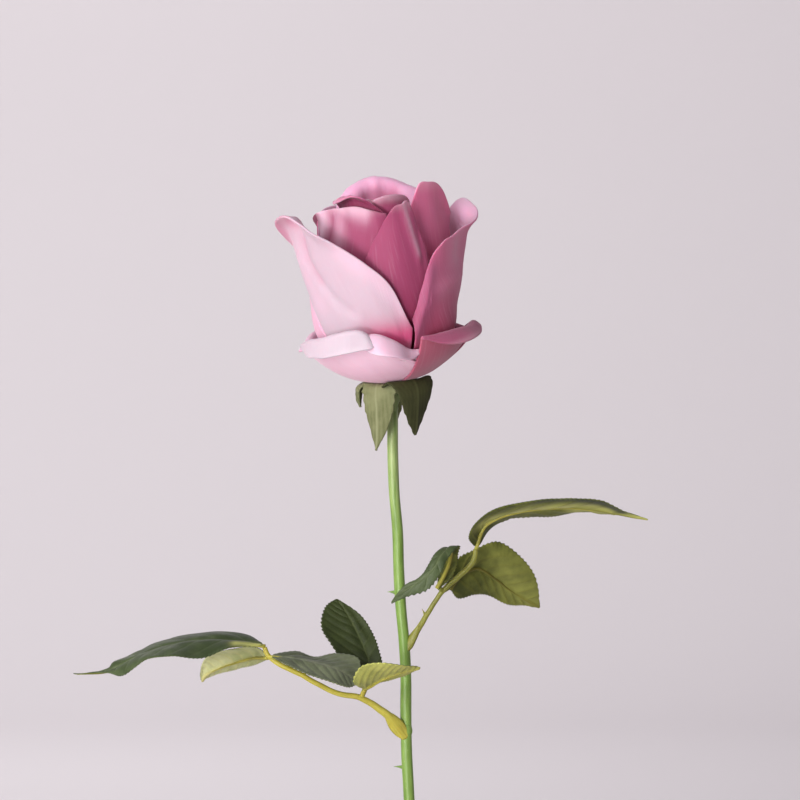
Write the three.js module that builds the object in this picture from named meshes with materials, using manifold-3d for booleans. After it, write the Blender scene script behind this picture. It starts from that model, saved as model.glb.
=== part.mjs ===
// A single pink rose in a plain bud vase, in millimetres, +Z up, seen from -Y.
// The origin is the middle of the vase's flat foot. The stem leans on the vase's neck, stands on its floor in
// water, and carries one half-open bloom, a calyx of five hanging sepals and two compound leaves.
import * as THREE from "three";
import { mergeVertices } from "three/addons/utils/BufferGeometryUtils.js";
import Module from "manifold-3d";

const wasm = await Module();
wasm.setup();

// ---- Driving dimensions, mm ----
const GAP = 0.3; // running gap between pieces that touch
const FINENESS = 0.06; // how far a fused solid may be simplified
const VASE_HEIGHT = 150;
const VASE_FLOOR = 4.5;
const WATER_LEVEL = 92;
const STEM_RADIUS = 1.95;
const LEAF_THICKNESS = 0.7;
const PETAL_THICKNESS = 0.9;
const BLOOM_BASE = new THREE.Vector3(-12.95, 0, 308.6); // underside of the receptacle
const BLOOM_TIP_FORWARD = 8; // degrees the bloom's axis tips towards the viewer
const BLOOM_TIP_LEFT = 4; // degrees it tips to the left
const COURSE_LENGTH = 72; // arc length that a petal's course is written over

const rad = THREE.MathUtils.degToRad;
const vec = (p) => new THREE.Vector3(...p);

// ---- Small maths ----

// A smooth curve through evenly spaced values, read at x from 0 to 1.
function curve(values, x) {
  const last = values.length - 1;
  const at = THREE.MathUtils.clamp(x, 0, 1) * last;
  const i = Math.min(Math.floor(at), last - 1);
  const f = at - i;
  const p1 = values[i];
  const p2 = values[i + 1];
  const p0 = values[Math.max(i - 1, 0)];
  const p3 = values[Math.min(i + 2, last)];
  return 0.5 * (2 * p1 + (p2 - p0) * f + (2 * p0 - 5 * p1 + 4 * p2 - p3) * f ** 2
    + (3 * p1 - p0 - 3 * p2 + p3) * f ** 3);
}

const ease = (x) => THREE.MathUtils.smoothstep(x, 0, 1);

// ---- Solids and booleans ----

function toSolid(geometry) {
  const plain = geometry.clone();
  plain.deleteAttribute("normal");
  plain.deleteAttribute("uv");
  const merged = mergeVertices(plain, 1e-4);
  return new wasm.Manifold(new wasm.Mesh({
    numProp: 3,
    vertProperties: merged.attributes.position.array,
    triVerts: new Uint32Array(merged.index.array),
  }));
}

function toGeometry(solid) {
  const mesh = solid.getMesh();
  const geometry = new THREE.BufferGeometry();
  geometry.setAttribute("position", new THREE.BufferAttribute(new Float32Array(mesh.vertProperties), 3));
  geometry.setIndex(new THREE.BufferAttribute(new Uint32Array(mesh.triVerts), 1));
  geometry.computeVertexNormals();
  return geometry;
}

const join = (solids) => solids.reduce((sum, next) => sum.add(next));

// The largest body of a join: a hollow that fusing seals is filled, and a loose scrap is dropped.
function outerBody(solid) {
  const bodies = solid.decompose();
  return bodies.reduce((best, next) => (next.volume() > best.volume() ? next : best));
}

// A closed sheet of even thickness about a grid of points: grid[i][j] is a Vector3.
function sheet(grid, thickness) {
  const rows = grid.length;
  const columns = grid[0].length;
  const positions = [];
  const normalAt = (i, j) => {
    const along = grid[Math.min(i + 1, rows - 1)][j].clone().sub(grid[Math.max(i - 1, 0)][j]);
    const across = grid[i][Math.min(j + 1, columns - 1)].clone().sub(grid[i][Math.max(j - 1, 0)]);
    return along.cross(across).normalize();
  };
  for (const side of [0.5, -0.5]) {
    grid.forEach((row, i) => row.forEach((point, j) => {
      positions.push(...point.clone().addScaledVector(normalAt(i, j), side * thickness));
    }));
  }
  const under = rows * columns;
  const at = (i, j) => i * columns + j;
  const index = [];
  for (let i = 0; i < rows - 1; i++) {
    for (let j = 0; j < columns - 1; j++) {
      const [a, b, c, d] = [at(i, j), at(i + 1, j), at(i + 1, j + 1), at(i, j + 1)];
      index.push(a, b, c, a, c, d);
      index.push(under + a, under + c, under + b, under + a, under + d, under + c);
    }
  }
  const rim = [];
  for (let i = 0; i < rows - 1; i++) rim.push(at(i, 0));
  for (let j = 0; j < columns - 1; j++) rim.push(at(rows - 1, j));
  for (let i = rows - 1; i > 0; i--) rim.push(at(i, columns - 1));
  for (let j = columns - 1; j > 0; j--) rim.push(at(0, j));
  rim.forEach((a, k) => {
    const b = rim[(k + 1) % rim.length];
    index.push(b, a, under + a, b, under + a, under + b);
  });
  const geometry = new THREE.BufferGeometry();
  geometry.setAttribute("position", new THREE.Float32BufferAttribute(positions, 3));
  geometry.setIndex(index);
  return toSolid(geometry);
}

// A round bar along a smooth path; its radius follows the list of radii.
function bar(path, radii, sides, steps) {
  const line = new THREE.CatmullRomCurve3(path);
  const frames = line.computeFrenetFrames(steps);
  const positions = [];
  for (let i = 0; i <= steps; i++) {
    const centre = line.getPointAt(i / steps);
    const radius = curve(radii, i / steps);
    for (let k = 0; k < sides; k++) {
      const angle = (2 * Math.PI * k) / sides;
      positions.push(...centre.clone()
        .addScaledVector(frames.normals[i], radius * Math.cos(angle))
        .addScaledVector(frames.binormals[i], radius * Math.sin(angle)));
    }
  }
  const index = [];
  for (let i = 0; i < steps; i++) {
    for (let k = 0; k < sides; k++) {
      const [a, b] = [i * sides + k, i * sides + ((k + 1) % sides)];
      index.push(a, b, b + sides, a, b + sides, a + sides);
    }
  }
  for (let k = 1; k < sides - 1; k++) {
    index.push(0, k + 1, k);
    index.push(steps * sides, steps * sides + k, steps * sides + k + 1);
  }
  const geometry = new THREE.BufferGeometry();
  geometry.setAttribute("position", new THREE.Float32BufferAttribute(positions, 3));
  geometry.setIndex(index);
  return toSolid(geometry);
}

// A solid of revolution about Z from [radius, height] points that start and end on the axis, lowest first.
function turned(profile, segments) {
  const geometry = new THREE.LatheGeometry(profile.map(([r, z]) => new THREE.Vector2(r, z)), segments);
  geometry.rotateX(Math.PI / 2);
  return toSolid(geometry);
}

// ---- Petals ----
// A petal is a fan of meridian lines. Each line leaves the foot and follows a course: its slope from the
// bloom's axis, in degrees, at even steps of arc. reach is each line's length, across the petal from left to
// right. lean is a slope that comes in above the belly. roll is the turn of the rim beyond the crease, which
// lies lip millimetres below the end, and it is done within the share "fold" of the lip. flap scales the lip
// across the petal, and tuck pushes the right edge out and the left edge in. body, rim and across count the
// petal's facets below the crease, beyond it and from side to side.
const OUTER = {
  foot: [3, 0.4], course: [86, 66, 44, 16, 5, 5, 5], lip: 8.5, fold: 0.45,
  flap: [0.3, 0.8, 1, 1, 1, 0.8, 0.3], body: 4, rim: 4, across: 7,
};
const TALL = {
  foot: [3, 2], course: [84, 60, 26, 11, 8, 12, 16], lip: 8, fold: 1, body: 5, rim: 2, across: 8,
};
const INNER = {
  foot: [2.5, 4], course: [72, 46, 18, 2, -4, -3, 4], lip: 7, fold: 1, body: 5, rim: 2, across: 7,
};
const HEART = {
  foot: [2, 5], course: [62, 32, 10, 0, -5, -8, -2], lip: 9, fold: 1, body: 4, rim: 3, across: 8,
};
const RECEPTACLE = [[0, -0.6], [4.2, -0.6], [9, 1.8], [14, 6.5], [16, 14], [15, 24], [9, 34], [0, 38]];

const PETALS = [
  // Outer petals, rolled down over their whole width.
  { ...OUTER, across: 8, azimuth: -32, spread: 58, tuck: -0.4, lip: 9,
    reach: [38, 39, 40, 41, 42, 43, 44.5, 45.5, 44.5, 37, 35, 33, 31],
    flap: [0.35, 0.4, 0.5, 0.85, 0.95, 1.05, 1.1, 1.1, 0.9, 0.15, 0.1, 0.1, 0.1],
    roll: [160, 160, 170, 170, 165, 170, 170, 60, 0, 0] },
  { ...OUTER, azimuth: -7, spread: 36, tuck: -0.6, course: [84, 63, 41, 15, 5, 5, 5], lip: 9,
    reach: [34, 36.5, 40.5, 42, 39.5, 35.5, 35], flap: [0.2, 0.3, 0.5, 1, 1, 0.7, 0.3],
    roll: [105, 145, 175, 140, 125, 135] },
  { ...OUTER, azimuth: 70, spread: 47, tuck: -0.8, course: [86, 66, 44, 14, 2, 2, 2],
    reach: [41, 41.5, 41.5, 41.5, 42, 40, 36], flap: [0.35, 0.8, 1, 0.85, 0.6, 0.35, 0.2],
    roll: [160, 140, 115, 120, 105, 75] },
  { ...OUTER, across: 6, azimuth: 142, spread: 50, tuck: -0.8, reach: [35, 38, 39, 40, 39, 36, 33],
    roll: [70, 120, 130, 130, 120, 60] },
  { ...OUTER, across: 6, azimuth: -139, spread: 56, tuck: -0.9, reach: [33, 36, 39, 40, 40, 37, 34],
    roll: [60, 120, 130, 130, 120, 60] },
  // Tall petals, the widest of the bloom.
  { ...TALL, azimuth: -44, spread: 67, tuck: 0.5, course: [84, 56, 21, 12, 10, 14, 18],
    reach: [57, 66.5, 73, 73.5, 66.5, 60, 53.5, 45.5, 30], lean: [2, 2, 0, 0, -3, -4, -4],
    roll: [20, 60, 50, 10, 0, 0] },
  { ...TALL, across: 8, azimuth: 82, spread: 58, tuck: -0.5, reach: [34, 52, 59, 61, 63, 66, 72, 74, 67],
    lean: [-3, -7, -8.5, -6, 2, 0.5, 4.5], roll: [-40, 0, 10, 30, 65, 30] },
  { ...TALL, across: 6, azimuth: 165, spread: 56, tuck: 0.8, reach: [50, 60, 65, 67, 63, 57, 46],
    lean: [-6, -4, -2, -2, -4, -6], roll: [10, 30, 40, 30, 10] },
  { ...TALL, azimuth: -126, spread: 64, tuck: -2.5, course: [86, 65, 30, 8, 4, 8, 12],
    reach: [36, 52, 60, 61, 57, 51, 41, 30], lean: [-6, -4, -2, -2, -7, -9], roll: [10, 30, 40, 20, 0, 0] },
  // Inner petals.
  { ...INNER, azimuth: -50, spread: 62, tuck: -1, reach: [62, 64.5, 66, 67, 67.5, 66, 64.5],
    lean: [2, 0, -2, -6.5, -8, -8], roll: [40, 30, 10, 0, 0, 0] },
  { ...INNER, azimuth: 14.5, spread: 29, tuck: 0.2, course: [72, 50, 25, 5, -4, -3, 0],
    reach: [51, 56, 60, 64.5, 68, 69, 69.5, 62, 52.5], lean: [-7.5, 0, -1], roll: [0, 0, 10, 0, 0] },
  { ...INNER, azimuth: 74, spread: 35, tuck: 2.2, course: [72, 47, 20, 4, 0, 2, 6],
    reach: [66, 73.5, 74, 73, 69, 63, 62.5], lean: [-4.5, -2, 2], roll: [0, 5, 10, 15, 10] },
  { ...INNER, across: 6, azimuth: 160, spread: 60, tuck: 0.8, reach: [54, 65, 69, 70, 69, 65, 54],
    roll: [10, 20, 20, 10] },
  { ...INNER, across: 6, azimuth: -130, spread: 60, tuck: 0.8, reach: [54, 61, 65, 66, 65, 61, 54],
    roll: [10, 20, 20, 10] },
  // The heart's petals, wrapped round each other.
  { ...HEART, azimuth: 164, spread: 88, tuck: -1.2, reach: [54, 64, 70.5, 74, 74, 68.5, 58],
    roll: [60, 90, 110, 110, 90, 60] },
  { ...HEART, azimuth: -42, spread: 66, tuck: 0.4, course: [60, 30, 8, -2, -6, -8, -4], lip: 6.5,
    reach: [62, 66, 68, 69.2, 69.4, 68.5, 67, 65, 62], flap: [0.5, 0.8, 1, 1, 0.8, 0.6, 0.4, 0.3, 0.2],
    lean: [0, 0], roll: [80, 110, 150, 150, 140, 120, 100, 80, 60] },
  { ...HEART, azimuth: 40, spread: 100, tuck: 1.2, lip: 6, reach: [57, 63, 66, 67, 66, 63, 57],
    lean: [-8, -8], roll: [0, 20, 30, 20, 0] },
  { ...HEART, azimuth: -40, spread: 170, foot: [1.5, 5], tuck: 1.6, lip: 6,
    reach: [59, 62, 65, 66, 65, 62, 57], lean: [-16, -16], roll: [0, 20, 30, 20, 0] },
];

// Arc lengths along a meridian where the petal's rows lie: even up to the crease, then closer.
function stations(crease, length, petal) {
  const body = Array.from({ length: petal.body }, (_, k) => (crease * k) / petal.body);
  const rim = Array.from({ length: petal.rim + 1 }, (_, k) => crease + ((length - crease) * k) / petal.rim);
  return [...body, ...rim];
}

function meridian(petal, share) {
  const u = 2 * share - 1;
  const crease = curve(petal.reach, share) - petal.lip;
  const length = crease + petal.lip * curve(petal.flap ?? [1, 1], share);
  const lean = rad(curve(petal.lean ?? [0, 0], share));
  const roll = rad(curve(petal.roll, share));
  const slopeAt = (s) => rad(curve(petal.course, s / COURSE_LENGTH)) + lean * ease((s - 18) / 30)
    + roll * ease((s - crease) / (petal.lip * petal.fold));
  const azimuth = rad(petal.azimuth + petal.spread * u);
  let [r, z] = petal.foot;
  let s = 0;
  return stations(crease, length, petal).map((stop) => {
    while (s < stop - 1e-6) {
      const ds = Math.min(0.5, stop - s);
      const slope = slopeAt(s + ds / 2);
      r += ds * Math.sin(slope);
      z += ds * Math.cos(slope);
      s += ds;
    }
    const radius = r + ease(s / 20) * petal.tuck * u;
    return new THREE.Vector3(radius * Math.sin(azimuth), -radius * Math.cos(azimuth), z);
  });
}

function petalSolid(petal) {
  const grid = Array.from({ length: petal.across + 1 }, (_, i) => meridian(petal, i / petal.across));
  return sheet(grid, PETAL_THICKNESS);
}

// The bloom's own frame: its axis is +Z, its base the origin.
function bloomFrame() {
  const up = new THREE.Vector3(-Math.sin(rad(BLOOM_TIP_LEFT)), -Math.sin(rad(BLOOM_TIP_FORWARD)),
    Math.cos(rad(BLOOM_TIP_FORWARD))).normalize();
  const right = new THREE.Vector3(1, 0, 0);
  right.addScaledVector(up, -right.dot(up)).normalize();
  const back = up.clone().cross(right);
  return new THREE.Matrix4().makeBasis(right, back, up).setPosition(BLOOM_BASE);
}
const BLOOM_FRAME = bloomFrame();
const onBloom = (solid) => solid.transform(BLOOM_FRAME.elements);

// The petals, fused at their feet to the receptacle that fills the bottom of the bloom.
function bloom() {
  return onBloom(outerBody(join([turned(RECEPTACLE, 16), ...PETALS.map(petalSolid)]).simplify(FINENESS)));
}

// ---- Calyx ----
// Each sepal leaves the plate under the bloom, turns over and hangs. path is [radius, height] in the bloom's
// frame.
const SEPALS = [
  { azimuth: -31, width: 7, path: [[3.5, -1.5], [7.4, 0], [9.6, -2], [9.6, -9], [10.4, -16], [12.6, -22.6]] },
  { azimuth: 40, width: 9.8,
    path: [[3.5, -1.5], [8, -0.2], [12.4, 1], [14.6, -2.6], [13.4, -10], [11.6, -18.4]] },
  { azimuth: -98, width: 4.8, path: [[3.5, -1.5], [8, 0], [11.4, -1.4], [12, -3.6], [11.6, -6], [11, -8.6]] },
  { azimuth: 112, width: 5, path: [[3.5, -1.5], [7, 0], [8.6, -2.4], [8.4, -6], [7.2, -10], [6, -13]] },
  { azimuth: 188, width: 6.2, path: [[3.5, -1.5], [7.4, 0], [9.6, -2.8], [9.8, -9], [9, -14.4], [8, -19]] },
];
const SEPAL_OUTLINE = [0.6, 0.95, 1, 0.92, 0.72, 0.42, 0.06];
const SEPAL_TEETH = 4;
const SEPAL_THICKNESS = 0.8;
const SEPAL_CUP = 1.8; // how far a sepal's edges lie behind its middle

function sepalSolid({ azimuth, width, path }) {
  const radii = path.map(([r]) => r);
  const heights = path.map(([, z]) => z);
  const angle = rad(azimuth);
  const out = new THREE.Vector3(Math.sin(angle), -Math.cos(angle), 0);
  const side = new THREE.Vector3(Math.cos(angle), Math.sin(angle), 0);
  const rows = toothed(SEPAL_TEETH, 0.3);
  const grid = rows.map(({ t, tooth }) => [-1, 0, 1].map((u) => {
    const half = width * curve(SEPAL_OUTLINE, t) + (u ? 0.7 * tooth : 0);
    const bend = SEPAL_CUP * u * u * curve(SEPAL_OUTLINE, t) * ease(t / 0.4);
    return out.clone().multiplyScalar(curve(radii, t) - bend).addScaledVector(side, half * u)
      .setZ(curve(heights, t));
  }));
  return sheet(grid, SEPAL_THICKNESS);
}

function calyx() {
  const plate = turned([[0, -2.1], [4.4, -2.1], [5.2, -1.5], [4.4, -0.9], [0, -0.9]], 14);
  return onBloom(outerBody(join([plate, ...SEPALS.map(sepalSolid)]).simplify(FINENESS)));
}

// ---- Leaves ----
// Rows along a leaf's edge, two to a tooth: t is the row's place from base to tip, tooth is -1 in a notch and
// +1 at a point. The points lean towards the tip, and the first and last rows have none.
function toothed(count, lean) {
  const rows = [{ t: 0, tooth: 0 }];
  for (let k = 0; k < count; k++) {
    rows.push({ t: (k + 0.35) / (count + 0.35), tooth: k ? -1 : 0 });
    rows.push({ t: (k + 0.75 + 0.35 * lean) / (count + 0.35), tooth: k === count - 1 ? 0 : 1 });
  }
  rows.push({ t: 1, tooth: 0 });
  return rows;
}

// Each leaflet is given by three lines in space from base to tip: the rib and its two edges.
const LEAFLETS = {
  upper_leaflet_tip: {
    rib: [[16.9, -3, 251], [18.1, -4, 255.3], [20.5, -5, 259.1], [26.1, -6, 262], [33.7, -7, 263.9],
      [42, -7, 264.8], [50.7, -7, 264.8], [59.5, -6, 263.9], [67.9, -5, 262.4], [77.1, -4, 260.5]],
    left: [[17.6, -2, 251.2], [20.7, 2, 255], [25, 6, 258.7], [30.7, 9, 260.8], [38.5, 10, 261.2],
      [47, 9, 261.6], [53.9, 6, 263.1], [61.7, 2, 262.2], [69.2, -2, 261.6], [77.1, -3.6, 260.3]],
    right: [[16.2, -4, 251.2], [14.5, -9, 254.4], [17.2, -14, 259.5], [23.6, -19, 264.6],
      [31.8, -21, 266.8], [41.4, -21, 267.6], [50.8, -19, 267.9], [60, -15, 266.9], [68.8, -8, 263.1],
      [77, -4.4, 260.6]],
  },
  upper_leaflet_left: {
    rib: [[4.2, -4, 237.1], [5.9, -5, 240.7], [7.6, -7, 244.9], [8.3, -10, 249.2], [7.2, -13, 250.9],
      [4.5, -16.5, 248.2], [1.9, -18, 243.7], [-2.2, -18, 239.9], [-7.4, -16.5, 236.4], [-12.6, -14, 231.8]],
    left: [[3.5, -3.4, 237.4], [3.8, -4, 240.3], [4.8, -6, 244.5], [5.8, -9.5, 248.9], [5.1, -13, 250.4],
      [2.3, -15.5, 248.3], [-0.1, -16.5, 244.4], [-3.2, -16.5, 240.7], [-8.1, -16, 237.8],
      [-12.7, -13.7, 232.1]],
    right: [[4.7, -4.4, 236.6], [8, -5, 239.6], [10.2, -6.5, 243.9], [10.7, -9, 248.5], [11, -12.5, 251.4],
      [6.8, -16.5, 247.1], [4.3, -18, 242], [-0.1, -18.5, 236.5], [-7.4, -17, 234], [-12.4, -14.3, 231.5]],
  },
  upper_leaflet_right: {
    rib: [[8.1, 1, 236.5], [12, 4, 240.9], [17.7, 8, 242.8], [23.5, 13, 239.4], [29.3, 18, 234.9],
      [35.1, 22, 231.1], [40.4, 26, 228]],
    left: [[8.3, 2, 235.7], [11, 7, 232.3], [17.1, 12, 233.2], [22.5, 17, 232.4], [28.7, 21, 229.2],
      [34.5, 24, 228.5], [40.3, 26.5, 227.7]],
    right: [[7.9, 0.8, 236.9], [9.8, 2.4, 245.2], [16.5, 3.4, 249.4], [24.7, 5.5, 252.2],
      [32.9, 10, 246.9], [38.8, 17, 238.8], [40.6, 26, 228.3]],
  },
  lower_leaflet_tip: {
    rib: [[-57, -9, 217.1], [-65, -10, 218.2], [-78.8, -12, 218.8], [-89.8, -12, 216.8],
      [-99.7, -10, 213.5], [-107.4, -9, 209.3], [-113.1, -8, 207.6], [-123.2, -7, 206.8]],
    left: [[-57.4, -8, 217.5], [-65.5, 1, 220.2], [-77.9, 4, 219.8], [-89.4, 3, 218.5], [-100.1, 0, 214.5],
      [-107.5, -4, 211], [-112.4, -7, 207.8], [-123.2, -7, 207]],
    right: [[-57.7, -10, 216.8], [-67.4, -17, 216.6], [-77.5, -22, 213.5], [-87.7, -23, 214.1],
      [-96.5, -20, 212.9], [-104.9, -14, 206.7], [-111.5, -10, 207.2], [-123.2, -7, 206.7]],
  },
  lower_leaflet_outer_front: {
    rib: [[-53.8, -11, 213.2], [-46.8, -13, 212.7], [-39.2, -14, 211.4], [-32.3, -14, 209.3],
      [-27.8, -13, 206.8], [-24.3, -12, 203.6]],
    left: [[-53.5, -10, 213.7], [-45.6, -7, 214.7], [-38.8, -4, 212.2], [-31.1, -3, 213.1],
      [-23.7, -5, 211.4], [-24, -11.6, 203.7]],
    right: [[-53.8, -12, 212.8], [-47.7, -18, 211], [-40.7, -21, 208], [-33.9, -21, 205.4],
      [-28.1, -18, 203.1], [-24.5, -12.4, 203.4]],
  },
  lower_leaflet_outer_back: {
    rib: [[-55.4, -7.2, 212.5], [-61.5, 6, 211.2], [-68.3, 16, 208.9], [-74.4, 24, 206.3],
      [-78.6, 29, 203.8], [-80.7, 32, 201.1]],
    left: [[-55.2, -6.8, 211.9], [-60.5, 8, 208.8], [-67.1, 20, 206.5], [-73.2, 27, 204.5],
      [-77.7, 31, 202.5], [-80.7, 33, 200.8]],
    right: [[-55.6, -7.4, 213.2], [-61.2, 0, 215.2], [-68.6, 8, 213.9], [-76.2, 17, 211.8],
      [-79.8, 25, 208], [-80.8, 31, 201.5]],
  },
  lower_leaflet_inner_front: {
    rib: [[-21.6, -8.2, 201.7], [-18.8, -12.5, 204], [-14.6, -16.5, 206.4], [-9.8, -18, 208.2],
      [-6, -17.5, 209.1], [-2.5, -16.5, 209.7]],
    left: [[-21.1, -7.6, 201.3], [-16.4, -7, 203.9], [-11.5, -7, 206], [-7.4, -9.5, 207.6],
      [-4.6, -13, 208.5], [-2.5, -16, 209.5]],
    right: [[-22.1, -9, 201.8], [-25.5, -18, 205.1], [-22.8, -25, 210.5], [-16, -27, 211.9],
      [-8.8, -24, 210.9], [-2.5, -17, 209.9]],
  },
  lower_leaflet_inner_back: {
    rib: [[-21.3, -1, 203], [-20, 4, 208.6], [-22.5, 9, 215.6], [-26.1, 13, 222.8], [-28.9, 15, 227.2],
      [-32, 17, 231.5]],
    left: [[-21.9, -1, 203], [-28, 1, 208.1], [-33, 6, 214.8], [-37.2, 10, 221.5], [-36, 14, 228.4],
      [-32.3, 17, 231.4]],
    right: [[-20.8, -1, 203], [-16.1, 1, 208.1], [-16.8, 6, 214.1], [-19.3, 11, 220.1], [-23.6, 14, 226],
      [-31.6, 17, 231.4]],
  },
};
const LEAF_TEETH = 11;
const TOOTH = 0.45; // half a tooth's height
const LEAF_ARCH = 0.06; // rise of each half between rib and edge, as a share of its width

function pointOn(line, t) {
  return new THREE.Vector3(...[0, 1, 2].map((axis) => curve(line.map((p) => p[axis]), t)));
}

function leafSolid({ rib, left, right }) {
  const grid = toothed(LEAF_TEETH, 0.5).map(({ t, tooth }) => {
    const middle = pointOn(rib, t);
    const halves = [left, right].map((line) => {
      const reach = pointOn(line, t).sub(middle);
      const width = reach.length();
      return reach.multiplyScalar(1 + (TOOTH * tooth * ease(width / 4)) / width);
    });
    const normal = halves[0].clone().sub(halves[1]).cross(pointOn(rib, t + 0.01).sub(pointOn(rib, t - 0.01)));
    normal.normalize();
    const between = halves.map((reach) => middle.clone().addScaledVector(reach, 0.5)
      .addScaledVector(normal, LEAF_ARCH * reach.length()));
    return [middle.clone().add(halves[0]), between[0], middle, between[1], middle.clone().add(halves[1])];
  });
  return sheet(grid, LEAF_THICKNESS);
}

// ---- Stem and leaf stalks ----
const STEM_PATH = [
  [-1.5, 0, 4.8], [-2.8, 0.3, 48], [-4.4, 0.6, 100], [-5.8, 0.9, 150], [-6.4, 1.1, 165], [-7.1, 1.4, 178],
  [-7.4, 1.8, 192], [-7.4, 2.2, 205], [-8, 2.5, 217], [-9.2, 2.9, 230], [-9.9, 3.1, 243], [-10.3, 3.1, 256],
  [-11.5, 2.9, 270], [-12, 2.5, 284], [-12.1, 1.5, 296], [-12.6, 0.6, 304.4],
].map(vec);
const THORNS = [
  [[-10, 3.2, 234.4], [-13.9, 3, 234.9]],
  [[-7, 1.3, 173.2], [-11.7, 1, 173.8]],
];
const LOWER_NODE = [-7.3, 1.6, 186.2]; // where the lower leaf leaves the stem

const LOWER_STALK = {
  path: [[-7.6, 1.2, 184], [-10.8, -1, 188.3], [-14.7, -3, 192.7], [-23, -6, 198.2], [-31.4, -7, 200],
    [-40, -8, 204.3], [-43.9, -8.5, 206.6], [-50.8, -8.8, 209.9], [-55, -8.5, 212.9],
    [-56.5, -8.5, 216]].map(vec),
  radii: [1.7, 1.5, 1.2, 1, 0.95, 0.9, 0.9, 0.85],
  stubs: [
    [[-23, -6, 198.2], [-22.3, -7, 200.2], [-21.7, -7.8, 201.2]].map(vec),
    [[-23, -6, 198.2], [-21.8, -3.5, 200.4], [-21.4, -1.6, 202]].map(vec),
  ],
  thorns: [[[-42.6, -8.4, 205.8], [-42.4, -8.4, 208.6]]],
};
const UPPER_STALK = {
  path: [[-7.6, 2.6, 213], [-5.6, 2, 217.5], [-2.8, 1, 222.1], [1, -1, 228.6], [5.5, -2, 235.3],
    [11.2, -2.5, 240.5], [15.5, -3, 244.7], [16.9, -3, 247.9], [16.9, -3, 250]].map(vec),
  radii: [1.2, 1.1, 0.95, 0.85, 1, 1, 0.95],
  stubs: [
    [[5.5, -2, 235.3], [4.9, -2.8, 235.9], [4.2, -3.6, 236.4]].map(vec),
    [[5.5, -2, 235.3], [6.8, -0.7, 235.8], [7.6, 0.4, 236.3]].map(vec),
  ],
  thorns: [[[-0.4, -0.2, 226.2], [-1.8, -0.2, 229.2]], [[7.8, -2.2, 237.6], [7.6, -2.2, 240.6]]],
};

function thorn([base, tip], radius) {
  return bar([vec(base), vec(base).lerp(vec(tip), 0.5), vec(tip)], [radius, 0.5 * radius, 0.12], 5, 2);
}

const stemBar = (grow) => bar(STEM_PATH, [STEM_RADIUS + grow, STEM_RADIUS + grow], 8, 32);

function nodeRing(grow) {
  const edge = STEM_RADIUS + grow;
  return turned([[0, -1.6 - grow], [edge, -1.6 - grow], [edge + 0.3, -0.6], [edge + 0.3, 0.4],
    [edge, 1.4 + grow], [0, 1.4 + grow]], 12).translate(LOWER_NODE);
}

function stem() {
  const hip = turned([[0, -11], [1.9, -11], [2.3, -8.5], [3.4, -6], [4.2, -4], [4.2, -2.4], [0, -2.4]], 16);
  return outerBody(join([stemBar(0), onBloom(hip), nodeRing(0),
    ...THORNS.map((ends) => thorn(ends, 1.2))]).simplify(FINENESS));
}

// A stalk with its flared sheath at the stem, its short side stalks and its thorns, clear of the stem. grow
// makes it thicker all round, for the room that the leaflets leave it.
function stalk({ path, stubs, thorns, radii }, grow = 0) {
  const wider = (list) => list.map((radius) => radius + grow);
  const longer = (line) => [...line.slice(0, -1), line.at(-1).clone()
    .add(line.at(-1).clone().sub(line.at(-2)).setLength(grow))];
  const parts = [bar(longer(path), wider(radii), 6, 16),
    ...stubs.map((stub) => bar(longer(stub), wider([0.8, 0.8]), 6, 2)),
    ...thorns.map((ends) => thorn(ends, 0.8 + grow))];
  return outerBody(join(parts).subtract(stemBar(GAP).add(nodeRing(GAP))));
}

// ---- Vase and water ----
const VASE_OUTSIDE = [[25, 0], [27, 1], [31.5, 12], [33, 26], [31.5, 42], [26.5, 60], [19.5, 79], [14, 96],
  [11.4, 112], [11.1, 128], [12, 142], [13, 147.5], [13, 149.4], [12.2, VASE_HEIGHT]];
const VASE_INSIDE = [[11, VASE_HEIGHT], [9.8, 148.6], [8.8, 142], [8.1, 128], [8.4, 112], [11, 96],
  [16.4, 79], [23.4, 60], [28.4, 42], [29.9, 26], [28.5, 12], [25.5, VASE_FLOOR + 1.2], [22, VASE_FLOOR]];
const VASE_SIDES = 28;

function vase() {
  return turned([[0, 0], ...VASE_OUTSIDE, ...VASE_INSIDE, [0, VASE_FLOOR]], VASE_SIDES);
}

// The water fills the vase up to its level, the gap clear of the wall, with a plain hole for the stem.
function water() {
  const wall = VASE_INSIDE.filter(([, z]) => z < WATER_LEVEL).reverse();
  const [[rLow, zLow], [rHigh, zHigh]] = [VASE_INSIDE[6], VASE_INSIDE[5]];
  const rLevel = rLow + ((rHigh - rLow) * (WATER_LEVEL - zLow)) / (zHigh - zLow);
  const outline = [...wall, [rLevel, WATER_LEVEL]].map(([r, z]) => [r - 1.5 * GAP, z]);
  outline[0][1] += GAP;
  outline[1][1] += GAP;
  const bottom = outline[0][1];
  const foot = turned([[0, -1], [STEM_RADIUS + GAP, -1], [STEM_RADIUS + GAP, 2], [0, 2]], 12)
    .translate(STEM_PATH[0].toArray());
  return turned([[0, bottom], ...outline, [0, WATER_LEVEL]], VASE_SIDES).subtract(stemBar(GAP).add(foot));
}

// ---- Assembly ----
const COLOURS = {
  petal: 0xd77aa6, sepal: 0x8d9a55, stem: 0x7f9f4c, stalk: 0xb5a93c, leaf: 0x46583a, vase: 0xe9e3d8,
  water: 0xcfe0e4,
};

const rose = new THREE.Group();
rose.name = "rose_in_bud_vase";

function add(name, solid, colour, roughness) {
  const material = new THREE.MeshStandardMaterial({ color: colour, roughness, metalness: 0 });
  const mesh = new THREE.Mesh(toGeometry(solid), material);
  mesh.name = name;
  rose.add(mesh);
}

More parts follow.
